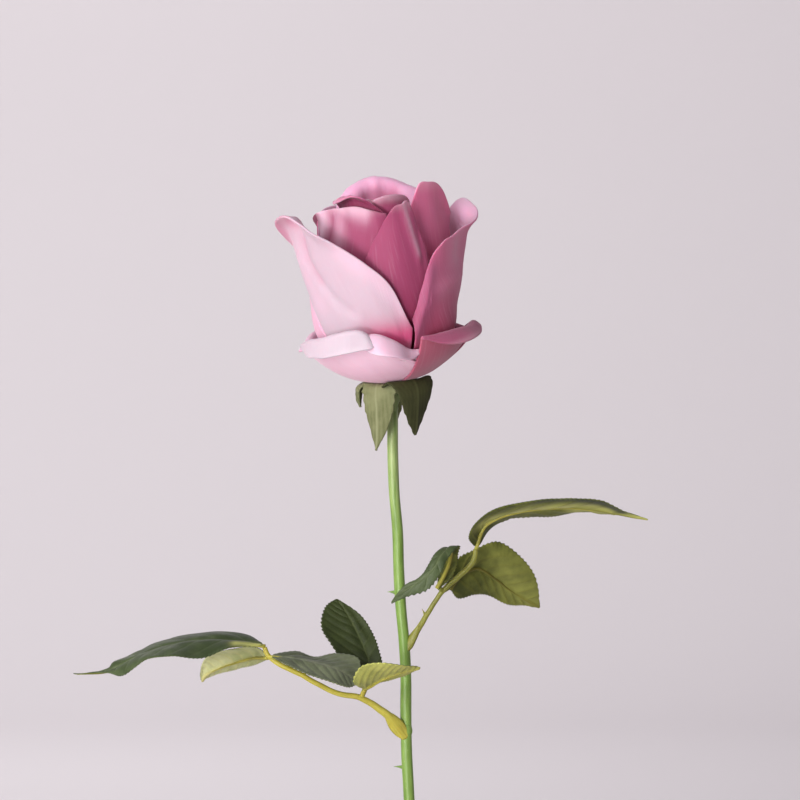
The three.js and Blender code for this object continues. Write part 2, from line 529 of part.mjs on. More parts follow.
add("vase", vase(), COLOURS.vase, 0.3);
add("water", water(), COLOURS.water, 0.05);
add("stem", stem(), COLOURS.stem, 0.5);
add("calyx", calyx(), COLOURS.sepal, 0.7);
add("bloom", bloom(), COLOURS.petal, 0.6);
add("lower_leaf_stalk", stalk(LOWER_STALK), COLOURS.stalk, 0.5);
add("upper_leaf_stalk", stalk(UPPER_STALK), COLOURS.stalk, 0.5);
for (const [name, lines] of Object.entries(LEAFLETS)) {
  const room = stalk(name.startsWith("upper") ? UPPER_STALK : LOWER_STALK, GAP);
  add(name, outerBody(leafSolid(lines).subtract(room)), COLOURS.leaf, 0.6);
}

export default rose;
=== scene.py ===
"""Looks for the rose in its bud vase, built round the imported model.

The tables are in millimetres, in the model's frame: X right, Y away from the camera, Z up, the origin at the
middle of the vase's foot. Every fine piece follows the same curves as the solid that it replaces.
"""
import math

import bpy
import numpy as np
from mathutils import Matrix, Vector


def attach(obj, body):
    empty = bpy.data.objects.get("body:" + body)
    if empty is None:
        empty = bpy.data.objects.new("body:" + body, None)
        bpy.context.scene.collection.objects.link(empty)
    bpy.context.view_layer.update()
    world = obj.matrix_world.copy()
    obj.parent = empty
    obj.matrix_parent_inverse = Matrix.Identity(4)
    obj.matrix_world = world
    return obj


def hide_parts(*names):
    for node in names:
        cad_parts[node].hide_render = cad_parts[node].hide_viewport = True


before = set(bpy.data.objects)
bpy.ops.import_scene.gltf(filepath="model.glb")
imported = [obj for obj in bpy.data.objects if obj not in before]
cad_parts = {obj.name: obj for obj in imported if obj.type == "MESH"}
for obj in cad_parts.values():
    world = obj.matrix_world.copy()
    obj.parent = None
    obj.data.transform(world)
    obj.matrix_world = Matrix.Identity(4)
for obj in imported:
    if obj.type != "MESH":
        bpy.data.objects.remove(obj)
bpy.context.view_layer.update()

MM = 0.001
BODY = "root"

# ---- The photograph's view, and the stage ----
SCALE = 0.35  # mm a pixel at the object
FRAME_PIXELS = 800
CAMERA_DISTANCE = 1200
CAMERA_X = -9.45
CAMERA_Z = 302
SENSOR = 36
COVE_RADIUS = 2700
COVE_BEND = 700
COVE_HEIGHT = 1600

# ---- Bloom ----
BLOOM_BASE = (-12.95, 0, 308.6)
BLOOM_TIP_FORWARD = 8
BLOOM_TIP_LEFT = 4
COURSE_LENGTH = 72  # along a petal, where its course ends
PETAL_THICKNESS = 0.9
PETAL_RIM = 0.45  # over which the thickness is rounded off
PETAL_BREADTH = 60  # of an opened petal, for the lines on it
PETAL_WAVE = 0.22
PETAL_FLUTE = 0.08
RIM_DEPTH = 22  # of the fluted part below the rim

# foot is where a petal starts: its distance from the bloom's axis and its height. course is its slope off
# upright in degrees, along its length. lip is the length that can roll over, and fold the share that bends.
OUTER = dict(foot=(3, 0.4), course=[86, 66, 44, 16, 5, 5, 5], lip=8.5, fold=0.45,
             flap=[0.3, 0.8, 1, 1, 1, 0.8, 0.3])
TALL = dict(foot=(3, 2), course=[84, 60, 26, 11, 8, 12, 16], lip=8)
INNER = dict(foot=(2.5, 4), course=[72, 46, 18, 2, -4, -3, 4], lip=7)
HEART = dict(foot=(2, 5), course=[62, 32, 10, 0, -5, -8, -2], lip=9)


def petal_of(base, azimuth, spread, tuck, skin, reach, roll, **more):
    """azimuth is where a petal faces, in degrees from the front towards the right, spread its half width in
    degrees, and tuck how far its right edge stands out and its left edge in. skin is its colouring in SKINS.
    The lists run from its left edge to its right: reach is its length, roll how many degrees its lip turns
    outwards, lean how many its upper part does, and flap the share of the lip that is there."""
    return dict(base, azimuth=azimuth, spread=spread, tuck=tuck, skin=skin, reach=reach, roll=roll, **more)


PETALS = {
    "outer_left": petal_of(OUTER, -32, 58, -0.4, "shell",
        [38, 39, 40, 41, 42, 43, 44.5, 45.5, 44.5, 37, 35, 33, 31],
        [160, 160, 170, 170, 165, 170, 170, 60, 0, 0], lip=9,
        flap=[0.35, 0.4, 0.5, 0.85, 0.95, 1.05, 1.1, 1.1, 0.9, 0.15, 0.1, 0.1, 0.1]),
    "outer_front": petal_of(OUTER, -7, 36, -0.6, "blush", [34, 36.5, 40.5, 42, 39.5, 35.5, 35],
        [105, 145, 175, 140, 125, 135], course=[84, 63, 41, 15, 5, 5, 5], lip=9,
        flap=[0.2, 0.3, 0.5, 1, 1, 0.7, 0.3]),
    "outer_right": petal_of(OUTER, 70, 47, -0.8, "dusk_shade", [41, 41.5, 41.5, 41.5, 42, 40, 36],
        [160, 140, 115, 120, 105, 75], course=[86, 66, 44, 14, 2, 2, 2],
        flap=[0.35, 0.8, 1, 0.85, 0.6, 0.35, 0.2]),
    "outer_back_right": petal_of(OUTER, 142, 50, -0.8, "dusk_shade", [35, 38, 39, 40, 39, 36, 33],
        [70, 120, 130, 130, 120, 60]),
    "outer_back_left": petal_of(OUTER, -139, 56, -0.9, "blush", [33, 36, 39, 40, 40, 37, 34],
        [60, 120, 130, 130, 120, 60]),
    "tall_left": petal_of(TALL, -44, 67, 0.5, "pale", [57, 66.5, 73, 73.5, 66.5, 60, 53.5, 45.5, 30],
        [20, 60, 50, 10, 0, 0], course=[84, 56, 21, 12, 10, 14, 18], lean=[2, 2, 0, 0, -3, -4, -4]),
    "tall_right": petal_of(TALL, 82, 58, -0.5, "rose", [34, 52, 59, 61, 63, 66, 72, 74, 67],
        [-40, 0, 10, 30, 65, 30], lean=[-3, -7, -8.5, -6, 2, 0.5, 4.5]),
    "tall_back_right": petal_of(TALL, 165, 56, 0.8, "rose", [50, 60, 65, 67, 63, 57, 46],
        [10, 30, 40, 30, 10], lean=[-6, -4, -2, -2, -4, -6]),
    "tall_back_left": petal_of(TALL, -126, 64, -2.5, "blush", [36, 52, 60, 61, 57, 51, 41, 30],
        [10, 30, 40, 20, 0, 0], course=[86, 65, 30, 8, 4, 8, 12], lean=[-6, -4, -2, -2, -7, -9]),
    "inner_left": petal_of(INNER, -50, 62, -1, "deep", [62, 64.5, 66, 67, 67.5, 66, 64.5],
        [40, 30, 10, 0, 0, 0], lean=[2, 0, -2, -6.5, -8, -8]),
    "inner_front": petal_of(INNER, 14.5, 29, 0.2, "deep", [51, 56, 60, 64.5, 68, 69, 69.5, 62, 52.5],
        [0, 0, 10, 0, 0], course=[72, 50, 25, 5, -4, -3, 0], lean=[-7.5, 0, -1]),
    "inner_right": petal_of(INNER, 74, 35, 2.2, "rose", [66, 73.5, 74, 73, 69, 63, 62.5], [0, 5, 10, 15, 10],
        course=[72, 47, 20, 4, 0, 2, 6], lean=[-4.5, -2, 2]),
    "inner_back": petal_of(INNER, 160, 60, 0.8, "rose", [54, 65, 69, 70, 69, 65, 54], [10, 20, 20, 10]),
    "inner_back_left": petal_of(INNER, -130, 60, 0.8, "rose", [54, 61, 65, 66, 65, 61, 54], [10, 20, 20, 10]),
    "heart_back": petal_of(HEART, 164, 88, -1.2, "heart", [54, 64, 70.5, 74, 74, 68.5, 58],
        [60, 90, 110, 110, 90, 60]),
    "heart_left": petal_of(HEART, -42, 66, 0.4, "core_shade", [62, 66, 68, 69.2, 69.4, 68.5, 67, 65, 62],
        [80, 110, 150, 150, 140, 120, 100, 80, 60], course=[60, 30, 8, -2, -6, -8, -4], lip=6.5,
        flap=[0.5, 0.8, 1, 1, 0.8, 0.6, 0.4, 0.3, 0.2]),
    "heart_front": petal_of(HEART, 40, 100, 1.2, "deep", [57, 63, 66, 66.5, 65, 61, 55], [0, 20, 30, 20, 0],
        lip=6, lean=[-8, -8]),
    "heart_core": petal_of(HEART, -40, 170, 1.6, "deep", [59, 62, 65, 66, 65, 62, 57], [0, 20, 30, 20, 0],
        lip=6, foot=(1.5, 5), lean=[-16, -16]),
    "heart_coil": petal_of(HEART, 130, 150, 1.1, "deep", [54, 58, 61, 62, 61, 58, 54], [0, 15, 20, 15, 0],
        lip=4, foot=(1.2, 5), course=[50, 26, 8, -1, -6, -10, -14], lean=[-12, -12]),
    "heart_tip": petal_of(HEART, -20, 170, 0.8, "deep", [52, 56, 59, 60, 59, 56, 52], [0, 10, 15, 10, 0],
        lip=3, foot=(0.8, 5), course=[36, 18, 6, 0, -4, -8, -12], lean=[-8, -8]),
}
# Each colouring: the rim and the foot of the outside, then of the inside. Beside the petals' own tones,
# the skins hold painted light and shade for the lamp on the left: pale and shell, on the petals to the left,
# are lighter, and rose and dusk_shade, on the petals to the right, darker.
SKINS = {
    "pale": ((0.53, 0.385, 0.455), (0.53, 0.42, 0.48), (0.6, 0.44, 0.53), (0.55, 0.22, 0.35)),
    "shell": ((0.84, 0.56, 0.67), (0.86, 0.45, 0.58), (0.55, 0.45, 0.51), (0.55, 0.24, 0.36)),
    "blush": ((0.74, 0.42, 0.55), (0.74, 0.34, 0.47), (0.66, 0.43, 0.54), (0.58, 0.16, 0.3)),
    "rose": ((0.6, 0.14, 0.27), (0.38, 0.03, 0.085), (0.7, 0.38, 0.53), (0.5, 0.08, 0.18)),
    # The next skin's dark pinks are painted shade, for the outer petals on the right, away from the lamp.
    "dusk_shade": ((0.42, 0.1, 0.16), (0.41, 0.1, 0.155), (0.34, 0.08, 0.155), (0.32, 0.045, 0.11)),
    "heart": ((0.66, 0.24, 0.4), (0.4, 0.04, 0.12), (0.78, 0.4, 0.58), (0.28, 0.02, 0.075)),
    # The next skin's dark outside is painted shade, the shade in the hollow under the heart's left lip.
    "core_shade": ((0.2, 0.022, 0.07), (0.16, 0.01, 0.045), (0.5, 0.11, 0.24), (0.22, 0.012, 0.05)),
    "deep": ((0.31, 0.05, 0.125), (0.26, 0.022, 0.075), (0.5, 0.11, 0.24), (0.22, 0.012, 0.05)),
}
PALEST = (0.78, 0.5, 0.62)
SHADE_DEEPEST = (0.58, 0.075, 0.2)
DUSKIEST = (0.2, 0.07, 0.14)
# Lines on a petal: (share across, mm along) points, a width, and a height in folds or a strength in pale,
# shade_flush and shade, which draw the colour to the palest, the deepest and the duskiest pink. The palest
# is painted light where folds, edges and turned parts face the lamp, and on the heart petals the paler pink
# of their rims; the deepest is painted shade in creases, under folds and on parts in shade, and the duskiest
# is painted shade that dulls a lit strip.
PETAL_LINES = {
    "tall_left": dict(
        folds=[([(0.38, 70), (0.38, 56), (0.44, 49), (0.53, 41), (0.62, 37)], 1.7, -1.1),
            ([(0.33, 70), (0.3, 55)], 3, 0.5), ([(0.62, 50), (0.75, 40), (0.86, 33)], 4, 0.4)],
        pale=[([(0.2, 66), (0.28, 56), (0.36, 40)], 5, 0.5), ([(0.62, 58), (0.78, 48), (0.9, 37)], 3.2, 0.5)],
        shade_flush=[([(0.76, 26), (0.86, 27), (0.97, 28)], 6.5, 1), ([(0.14, 63), (0.24, 71), (0.34, 71)], 4, 0.5),
            ([(0.38, 64), (0.38, 56), (0.45, 48)], 1.2, 0.2)]),
    "tall_right": dict(flute=0.14,
        folds=[([(0.53, 47), (0.35, 45), (0.24, 43), (0.14, 41)], 2.6, 0.9),
            ([(0.6, 36), (0.35, 36), (0.2, 34)], 4, -0.6)],
        pale=[([(0.5, 48), (0.24, 44)], 3.5, 0.12), ([(0.45, 64), (0.45, 54)], 7, 0.25)],
        shade=[([(0.05, 28), (0.11, 40), (0.16, 50)], 4.5, 0.5)]),
    "inner_left": dict(flute=0.25,
        folds=[([(0.24, 66), (0.13, 58)], 1.4, -0.7), ([(0.44, 67), (0.42, 61), (0.39, 56)], 1.7, -0.9),
            ([(0.54, 67), (0.54, 58)], 2.4, 0.6)],
        pale=[([(0.34, 68), (0.33, 62), (0.25, 54)], 4, 1), ([(0.46, 68), (0.58, 67), (0.74, 65)], 3.8, 0.6),
            ([(0.5, 64), (0.5, 56)], 4, 0.42)]),
    "inner_front": dict(flute=0.12, folds=[([(0.62, 68), (0.8, 50)], 2.2, 0.5)],
        pale=[([(0.64, 69), (0.8, 52)], 1.6, 0.4)]),
    "heart_back": dict(flute=0.3,
        folds=[([(0.78, 70), (0.74, 62)], 2.4, -0.5), ([(0.6, 72), (0.58, 63)], 2, -0.5),
            ([(0.42, 71), (0.42, 64)], 2.2, 0.4)],
        shade_flush=[([(0.75, 61), (0.6, 64), (0.45, 64)], 3.4, 0.45)]),
    "heart_left": dict(pale=[([(0.1, 66), (0.2, 70), (0.3, 70)], 3, 0.35)], flute=0.15),
    "heart_front": dict(pale=[([(0.15, 63), (0.4, 66), (0.6, 65.5), (0.8, 61.5)], 1.6, 0.35)]),
    "heart_core": dict(pale=[([(0.1, 61), (0.4, 65), (0.6, 65), (0.9, 60)], 1.4, 0.3)]),
    "heart_coil": dict(pale=[([(0.1, 57), (0.4, 61.5), (0.6, 61.5), (0.9, 57)], 1.2, 0.3)]),
}
RECEPTACLE = [(0, -0.6), (4.2, -0.6), (9, 1.8), (14, 6.5), (16, 14), (15, 24), (9, 34), (0, 38)]

# ---- Calyx ----
# path is a sepal's middle line after its foot, as distances from the bloom's axis and heights.
SEPALS = [
    dict(azimuth=-31, width=7, path=[(7.4, 0), (9.6, -2), (9.6, -9), (10.4, -16), (12.6, -22.6)]),
    dict(azimuth=40, width=9.8, dark=True,
         path=[(8, -0.2), (12.4, 1), (14.6, -2.6), (13.4, -10), (11.6, -18.4)]),
    dict(azimuth=-98, width=4.8, path=[(8, 0), (11.4, -1.4), (12, -3.6), (11.6, -6), (11, -8.6)]),
    dict(azimuth=112, width=5, dark=True, path=[(7, 0), (8.6, -2.4), (8.4, -6), (7.2, -10), (6, -13)]),
    dict(azimuth=188, width=6.2, path=[(7.4, 0), (9.6, -2.8), (9.8, -9), (9, -14.4), (8, -19)]),
]
# The second felt, darker, is painted shade for the sepals marked dark, on the right, away from the lamp.
SEPAL_SKINS = [
    ("sepal_felt", (0.11, 0.12, 0.045), (0.21, 0.22, 0.105), (0.27, 0.28, 0.15), 0.8, 0.1),
    ("sepal_felt_shaded", (0.026, 0.028, 0.007), (0.05, 0.054, 0.015), (0.08, 0.085, 0.03), 0.8, 0.03),
]
SEPAL_FOOT = (3.5, -1.5)
SEPAL_OUTLINE = [0.6, 0.95, 1, 0.92, 0.72, 0.42, 0.02]
SEPAL_THICKNESS = 0.7
SEPAL_RIM = 0.35
SEPAL_CUP = 1.8
SEPAL_RIB = 0.22  # how far the rib stands up
SEPAL_TEETH = 11
CALYX_PLATE = [(0, -2.1), (4.4, -2.1), (5.2, -1.5), (4.4, -0.9), (0, -0.9)]

# ---- Leaves ----
# Each colouring of a leaf's face: dark, light, veins, roughness and sheen. deep is a darker copy of top,
# painted shade for a leaflet in shade. young_backlit and young_lit are a young leaf's paler green, made
# lighter with painted light where light comes through the leaf, young_lit the most.
LEAF_SKINS = {
    "top": ((0.026, 0.042, 0.01), (0.07, 0.098, 0.036), (0.11, 0.14, 0.06), 0.5, 0.12),
    "dusty": ((0.065, 0.08, 0.04), (0.165, 0.19, 0.11), (0.22, 0.24, 0.15), 0.5, 0.12),
    "deep": ((0.014, 0.022, 0.003), (0.034, 0.048, 0.009), (0.055, 0.07, 0.018), 0.6, 0.02),
    "olive": ((0.055, 0.067, 0.008), (0.175, 0.19, 0.03), (0.19, 0.18, 0.025), 0.6, 0.03),
    "young_backlit": ((0.28, 0.3, 0.065), (0.5, 0.51, 0.13), (0.56, 0.51, 0.1), 0.6, 0.1),
    "young_lit": ((0.34, 0.37, 0.15), (0.56, 0.57, 0.29), (0.56, 0.51, 0.17), 0.6, 0.1),
}
LEAF_PALEST = (0.52, 0.53, 0.15)
LEAF_DUSKIEST = (0.045, 0.055, 0.035)
# The rib and both edges of each leaflet, from base to tip. top is 1 where the upper face is on the side of
# the surface's own normal, else -1. over and under are the faces' colourings. pale and shade are lines on the
# under face, or on the one that marked names: (mm across, mm along) points, a width and a strength. On the
# upper tip and right leaflets pale is painted light, where light falls on and comes through the under face;
# on the lower tip it is the paler yellow where the leaf folds by its rib. shade is the upper face's colour
# where an edge turns over.
LEAFLETS = {
    "upper_leaflet_tip": dict(top=-1,
        pale=[([(2.5, 16), (4, 30), (5, 40), (4, 50), (1, 60), (0, 67)], 4.5, 1),
            ([(-5, 46), (-3, 56)], 4, 0.8)],
        shade=[([(15, 36), (13, 45), (8.5, 52), (3, 59)], 2.8, 0.95)],
        rib=[(16.9, -3, 251), (18.1, -4, 255.3), (20.5, -5, 259.1), (26.1, -6, 262), (33.7, -7, 263.9),
            (42, -7, 264.8), (50.7, -7, 264.8), (59.5, -6, 263.9), (67.9, -5, 262.4), (77.1, -4, 260.5)],
        left=[(17.6, -2, 251.2), (20.7, 2, 255), (25, 6, 258.7), (30.7, 9, 260.8), (38.5, 10, 261.2),
            (47, 9, 261.6), (53.9, 6, 263.1), (61.7, 2, 262.2), (69.2, -2, 261.6), (77.1, -3.6, 260.3)],
        right=[(16.2, -4, 251.2), (14.5, -9, 254.4), (17.2, -14, 259.5), (23.6, -19, 264.6),
            (31.8, -21, 266.8), (41.4, -21, 267.6), (50.8, -19, 267.9), (60, -15, 266.9), (68.8, -8, 263.1),
            (77, -4.4, 260.6)]),
    "upper_leaflet_left": dict(top=1,
        rib=[(4.2, -4, 237.1), (5.9, -5, 240.7), (7.6, -7, 244.9), (8.3, -10, 249.2), (7.2, -13, 250.9),
            (4.5, -16.5, 248.2), (1.9, -18, 243.7), (-2.2, -18, 239.9), (-7.4, -16.5, 236.4),
            (-12.6, -14, 231.8)],
        left=[(3.5, -3.4, 237.4), (3.8, -4, 240.3), (4.8, -6, 244.5), (5.8, -9.5, 248.9), (5.1, -13, 250.4),
            (2.3, -15.5, 248.3), (-0.1, -16.5, 244.4), (-3.2, -16.5, 240.7), (-8.1, -16, 237.8),
            (-12.7, -13.7, 232.1)],
        right=[(4.7, -4.4, 236.6), (8, -5, 239.6), (10.2, -6.5, 243.9), (10.7, -9, 248.5), (11, -12.5, 251.4),
            (6.8, -16.5, 247.1), (4.3, -18, 242), (-0.1, -18.5, 236.5), (-7.4, -17, 234),
            (-12.4, -14.3, 231.5)]),
    "upper_leaflet_right": dict(top=-1, dull_rib=True, pale=[([(4, 30), (0, 44)], 10, 0.25)],
        rib=[(8.1, 1, 236.5), (12, 4, 240.9), (17.7, 8, 242.8), (23.5, 13, 239.4), (29.3, 18, 234.9),
            (35.1, 22, 231.1), (40.4, 26, 228)],
        left=[(8.3, 2, 235.7), (11, 7, 232.3), (17.1, 12, 233.2), (22.5, 17, 232.4), (28.7, 21, 229.2),
            (34.5, 24, 228.5), (40.3, 26.5, 227.7)],
        right=[(7.9, 0.8, 236.9), (9.8, 2.4, 245.2), (16.5, 3.4, 249.4), (24.7, 5.5, 252.2),
            (32.9, 10, 246.9), (38.8, 17, 238.8), (40.6, 26, 228.3)]),
    "lower_leaflet_tip": dict(top=1, marked="over", pale=[([(2, 0), (2.6, 5), (4.6, 9.5)], 1.9, 1)],
        rib=[(-57, -9, 217.1), (-65, -10, 218.2), (-78.8, -12, 218.8), (-89.8, -12, 216.8),
            (-99.7, -10, 213.5), (-107.4, -9, 209.3), (-113.1, -8, 207.6), (-123.2, -7, 206.8)],
        left=[(-57.4, -8, 217.5), (-65.5, 1, 220.2), (-77.9, 4, 219.8), (-89.4, 3, 218.5), (-100.1, 0, 214.5),
            (-107.5, -4, 211), (-112.4, -7, 207.8), (-123.2, -7, 207)],
        right=[(-57.7, -10, 216.8), (-67.4, -17, 216.6), (-77.5, -22, 213.5), (-87.7, -23, 214.1),
            (-96.5, -20, 212.9), (-104.9, -14, 206.7), (-111.5, -10, 207.2), (-123.2, -7, 206.7)]),
    "lower_leaflet_outer_front": dict(top=-1, over="dusty",
        rib=[(-53.8, -11, 213.2), (-46.8, -13, 212.7), (-39.2, -14, 211.4), (-32.3, -14, 209.3),
            (-27.8, -13, 206.8), (-24.3, -12, 203.6)],
        left=[(-53.5, -10, 213.7), (-45.6, -7, 214.7), (-38.8, -4, 212.2), (-31.1, -3, 213.1),
            (-23.7, -5, 211.4), (-24, -11.6, 203.7)],
        right=[(-53.8, -12, 212.8), (-47.7, -18, 211), (-40.7, -21, 208), (-33.9, -21, 205.4),
            (-28.1, -18, 203.1), (-24.5, -12.4, 203.4)]),
    "lower_leaflet_outer_back": dict(top=1, under="young_lit",
        rib=[(-55.4, -7.2, 212.5), (-61.5, 6, 211.2), (-68.3, 16, 208.9), (-74.4, 24, 206.3),
            (-78.6, 29, 203.8), (-80.7, 32, 201.1)],
        left=[(-55.2, -6.8, 211.9), (-60.5, 8, 208.8), (-67.1, 20, 206.5), (-73.2, 27, 204.5),
            (-77.7, 31, 202.5), (-80.7, 33, 200.8)],
        right=[(-55.6, -7.4, 213.2), (-61.2, 0, 215.2), (-68.6, 8, 213.9), (-76.2, 17, 211.8),
            (-79.8, 25, 208), (-80.8, 31, 201.5)]),
    "lower_leaflet_inner_front": dict(top=-1, under="young_backlit",
        rib=[(-21.6, -8.2, 201.7), (-18.8, -12.5, 204), (-14.6, -16.5, 206.4), (-9.8, -18, 208.2),
            (-6, -17.5, 209.1), (-2.5, -16.5, 209.7)],
        left=[(-21.1, -7.6, 201.3), (-16.4, -7, 203.9), (-11.5, -7, 206), (-7.4, -9.5, 207.6),
            (-4.6, -13, 208.5), (-2.5, -16, 209.5)],
        right=[(-22.1, -9, 201.8), (-25.5, -18, 205.1), (-22.8, -25, 210.5), (-16, -27, 211.9),
            (-8.8, -24, 210.9), (-2.5, -17, 209.9)]),
    "lower_leaflet_inner_back": dict(top=-1, over="deep",
        rib=[(-21.3, -1, 203), (-20, 4, 208.6), (-22.5, 9, 215.6), (-26.1, 13, 222.8), (-28.9, 15, 227.2),
            (-32, 17, 231.5)],
        left=[(-21.9, -1, 203), (-28, 1, 208.1), (-33, 6, 214.8), (-37.2, 10, 221.5), (-36, 14, 228.4),
            (-32.3, 17, 231.4)],
        right=[(-20.8, -1, 203), (-16.1, 1, 208.1), (-16.8, 6, 214.1), (-19.3, 11, 220.1), (-23.6, 14, 226),
            (-31.6, 17, 231.4)]),
}
LEAF_THICKNESS = 0.55
LEAF_RIM = 0.28
LEAF_ARCH = 0.06  # rise of the blade between rib and edge, by its half width
TOOTH_PITCH = 1.35
SIDE_VEINS = 9
RIB_STAND = 0.28  # how far the midrib stands up

# ---- Stem and leaf stalks ----
BARK_SPECK = (0.5, 0.5, 0.25)
BARK_PALEST = (0.5, 0.58, 0.27)
STEM_RADIUS = 1.95
STIPULE_THICKNESS = 0.5
STEM_PATH = [
    (-1.5, 0, 4.8), (-2.8, 0.3, 48), (-4.4, 0.6, 100), (-5.8, 0.9, 150), (-6.4, 1.1, 165), (-7.1, 1.4, 178),
    (-7.4, 1.8, 192), (-7.4, 2.2, 205), (-8, 2.5, 217), (-9.2, 2.9, 230), (-9.9, 3.1, 243), (-10.3, 3.1, 256),
    (-11.5, 2.9, 270), (-12, 2.5, 284), (-12.1, 1.5, 296), (-12.6, 0.6, 304.4)]
HIP = [(0, -11), (1.9, -11), (2.3, -8.5), (3.4, -6), (4.2, -4), (4.2, -2.4), (0, -2.4)]
STEM_THORNS = [((-10, 3.2, 234.4), (-13.9, 3, 234.9)), ((-7, 1.3, 173.2), (-11.7, 1, 173.8))]
LOWER_NODE = (-7.3, 1.6, 186.2)
# stubs are the leaflets' own little stalks; wings is the way the stipules face, their length and breadth.
STALKS = {
    "lower_leaf_stalk": dict(radii=[1.7, 1.5, 1.2, 1, 0.95, 0.9, 0.9, 0.85],
        path=[(-7.6, 1.2, 184), (-10.8, -1, 188.3), (-14.7, -3, 192.7), (-23, -6, 198.2), (-31.4, -7, 200),
            (-40, -8, 204.3), (-43.9, -8.5, 206.6), (-50.8, -8.8, 209.9), (-55, -8.5, 212.9),
            (-56.5, -8.5, 216)],
        stubs=[[(-23, -6, 198.2), (-22.3, -7, 200.2), (-21.7, -7.8, 201.2)],
            [(-23, -6, 198.2), (-21.8, -3.5, 200.4), (-21.4, -1.6, 202)]],
        thorns=[((-42.6, -8.4, 205.8), (-42.4, -8.4, 208.6))], wings=((-0.5, -1, 0.6), 13, 1),
        skin=("leaf_stalk_skin", (0.36, 0.3, 0.03), (0.56, 0.51, 0.08))),
    "upper_leaf_stalk": dict(radii=[1.2, 1.1, 0.95, 0.85, 1, 1, 0.95],
        path=[(-7.6, 2.6, 213), (-5.6, 2, 217.5), (-2.8, 1, 222.1), (1, -1, 228.6), (5.5, -2, 235.3),
            (11.2, -2.5, 240.5), (15.5, -3, 244.7), (16.9, -3, 247.9), (16.9, -3, 250)],
        stubs=[[(5.5, -2, 235.3), (4.9, -2.8, 235.9), (4.2, -3.6, 236.4)],
            [(5.5, -2, 235.3), (6.8, -0.7, 235.8), (7.6, 0.4, 236.3)]],
        thorns=[((-0.4, -0.2, 226.2), (-1.8, -0.2, 229.2)), ((7.8, -2.2, 237.6), (7.6, -2.2, 240.6))],
        wings=((-0.7, -1, 0.5), 12, 0.72),
        skin=("leaf_stalk_skin_green", (0.15, 0.15, 0.015), (0.29, 0.29, 0.045))),
}

# ---- Vase and water ----
VASE_OUTSIDE = [(25, 0), (27, 1), (31.5, 12), (33, 26), (31.5, 42), (26.5, 60), (19.5, 79), (14, 96),
                (11.4, 112), (11.1, 128), (12, 142), (13, 147.5), (13, 149.4), (12.2, 150)]
VASE_INSIDE = [(11, 150), (9.8, 148.6), (8.8, 142), (8.1, 128), (8.4, 112), (11, 96), (16.4, 79), (23.4, 60),
               (28.4, 42), (29.9, 26), (28.5, 12), (25.5, 5.7), (22, 4.5)]
VASE_FLOOR = 4.5


# ---- Maths ----
def curve(values, x):
    """A smooth curve through evenly spaced values, read at x from 0 to 1."""
    values = np.asarray(values, float)
    last = len(values) - 1
    at = np.clip(np.asarray(x, float), 0, 1) * last
    i = np.minimum(at.astype(int), last - 1)
    f = at - i
    before, here, there, after = (values[np.clip(i + k, 0, last)] for k in (-1, 0, 1, 2))
    if values.ndim > 1:
        f = f[..., None]
    return 0.5 * (2 * here + (there - before) * f + (2 * before - 5 * here + 4 * there - after) * f**2
                  + (3 * here - before - 3 * there + after) * f**3)


def ease(x):
    x = np.clip(x, 0, 1)
    return x * x * (3 - 2 * x)


def unit(v):
    return v / (np.linalg.norm(v, axis=-1, keepdims=True) + 1e-12)


def arc(points, axis=0):
    """Length along a line of points, or along a grid's lines on that axis, from the first point."""
    step = np.linalg.norm(np.diff(points, axis=axis), axis=-1)
    return np.concatenate([np.zeros_like(np.take(step, [0], axis)), np.cumsum(step, axis)], axis)


def walk(points, lengths):
    """The places at those lengths along a line of points."""
    return np.stack([np.interp(lengths, arc(points), points[:, k]) for k in range(3)], 1)


def pairs(a, b):
    return np.stack(np.broadcast_arrays(a, b), -1)


def normals_of(grid):
    return unit(np.cross(np.gradient(grid, axis=0), np.gradient(grid, axis=1)))


def ripple(u, v, seed):
    """A smooth seeded wave over the plane, about -1 to 1."""
    draw = np.random.RandomState(seed)
    total = np.zeros(np.broadcast(u, v).shape)
    for frequency, weight in ((1.3, 1), (2.6, 0.5), (5.1, 0.25)):
        for _ in range(3):
            angle, phase = draw.uniform(0, 2 * math.pi, 2)
            total = total + weight * np.sin(frequency * (np.cos(angle) * u + np.sin(angle) * v) + phase) / 2
    return total


# ---- Meshes ----
def placed(name, data):
    thing = bpy.data.objects.new(name, data)
    bpy.context.scene.collection.objects.link(thing)
    return thing


def new_object(name, vertices, faces, materials, uv=None, tones=None, slots=None):
    mesh = bpy.data.meshes.new(name)
    mesh.from_pydata((np.asarray(vertices) * MM).tolist(), [], faces)
    mesh.update()
    for material in materials:
        mesh.materials.append(material)
    mesh.polygons.foreach_set("use_smooth", [True] * len(mesh.polygons))
    if slots is not None:
        mesh.polygons.foreach_set("material_index", np.asarray(slots, dtype=np.int32))
    if uv is not None:
        corners = np.zeros(len(mesh.loops), dtype=np.int32)
        mesh.loops.foreach_get("vertex_index", corners)
        layer = mesh.uv_layers.new(name="UVMap")
        layer.data.foreach_set("uv", np.asarray(uv, dtype=np.float32)[corners].ravel())
    for key, value in (tones or {}).items():
        attribute = mesh.attributes.new(key, "FLOAT", "POINT")
        attribute.data.foreach_set("value", np.asarray(value, dtype=np.float32))
    return placed(name, mesh)


def adopt(thing, slot, *nodes):
    """The piece rides on the part's only body and stands for those nodes, which it hides; slot is not used.
    """
    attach(thing, BODY)
    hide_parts(*nodes)


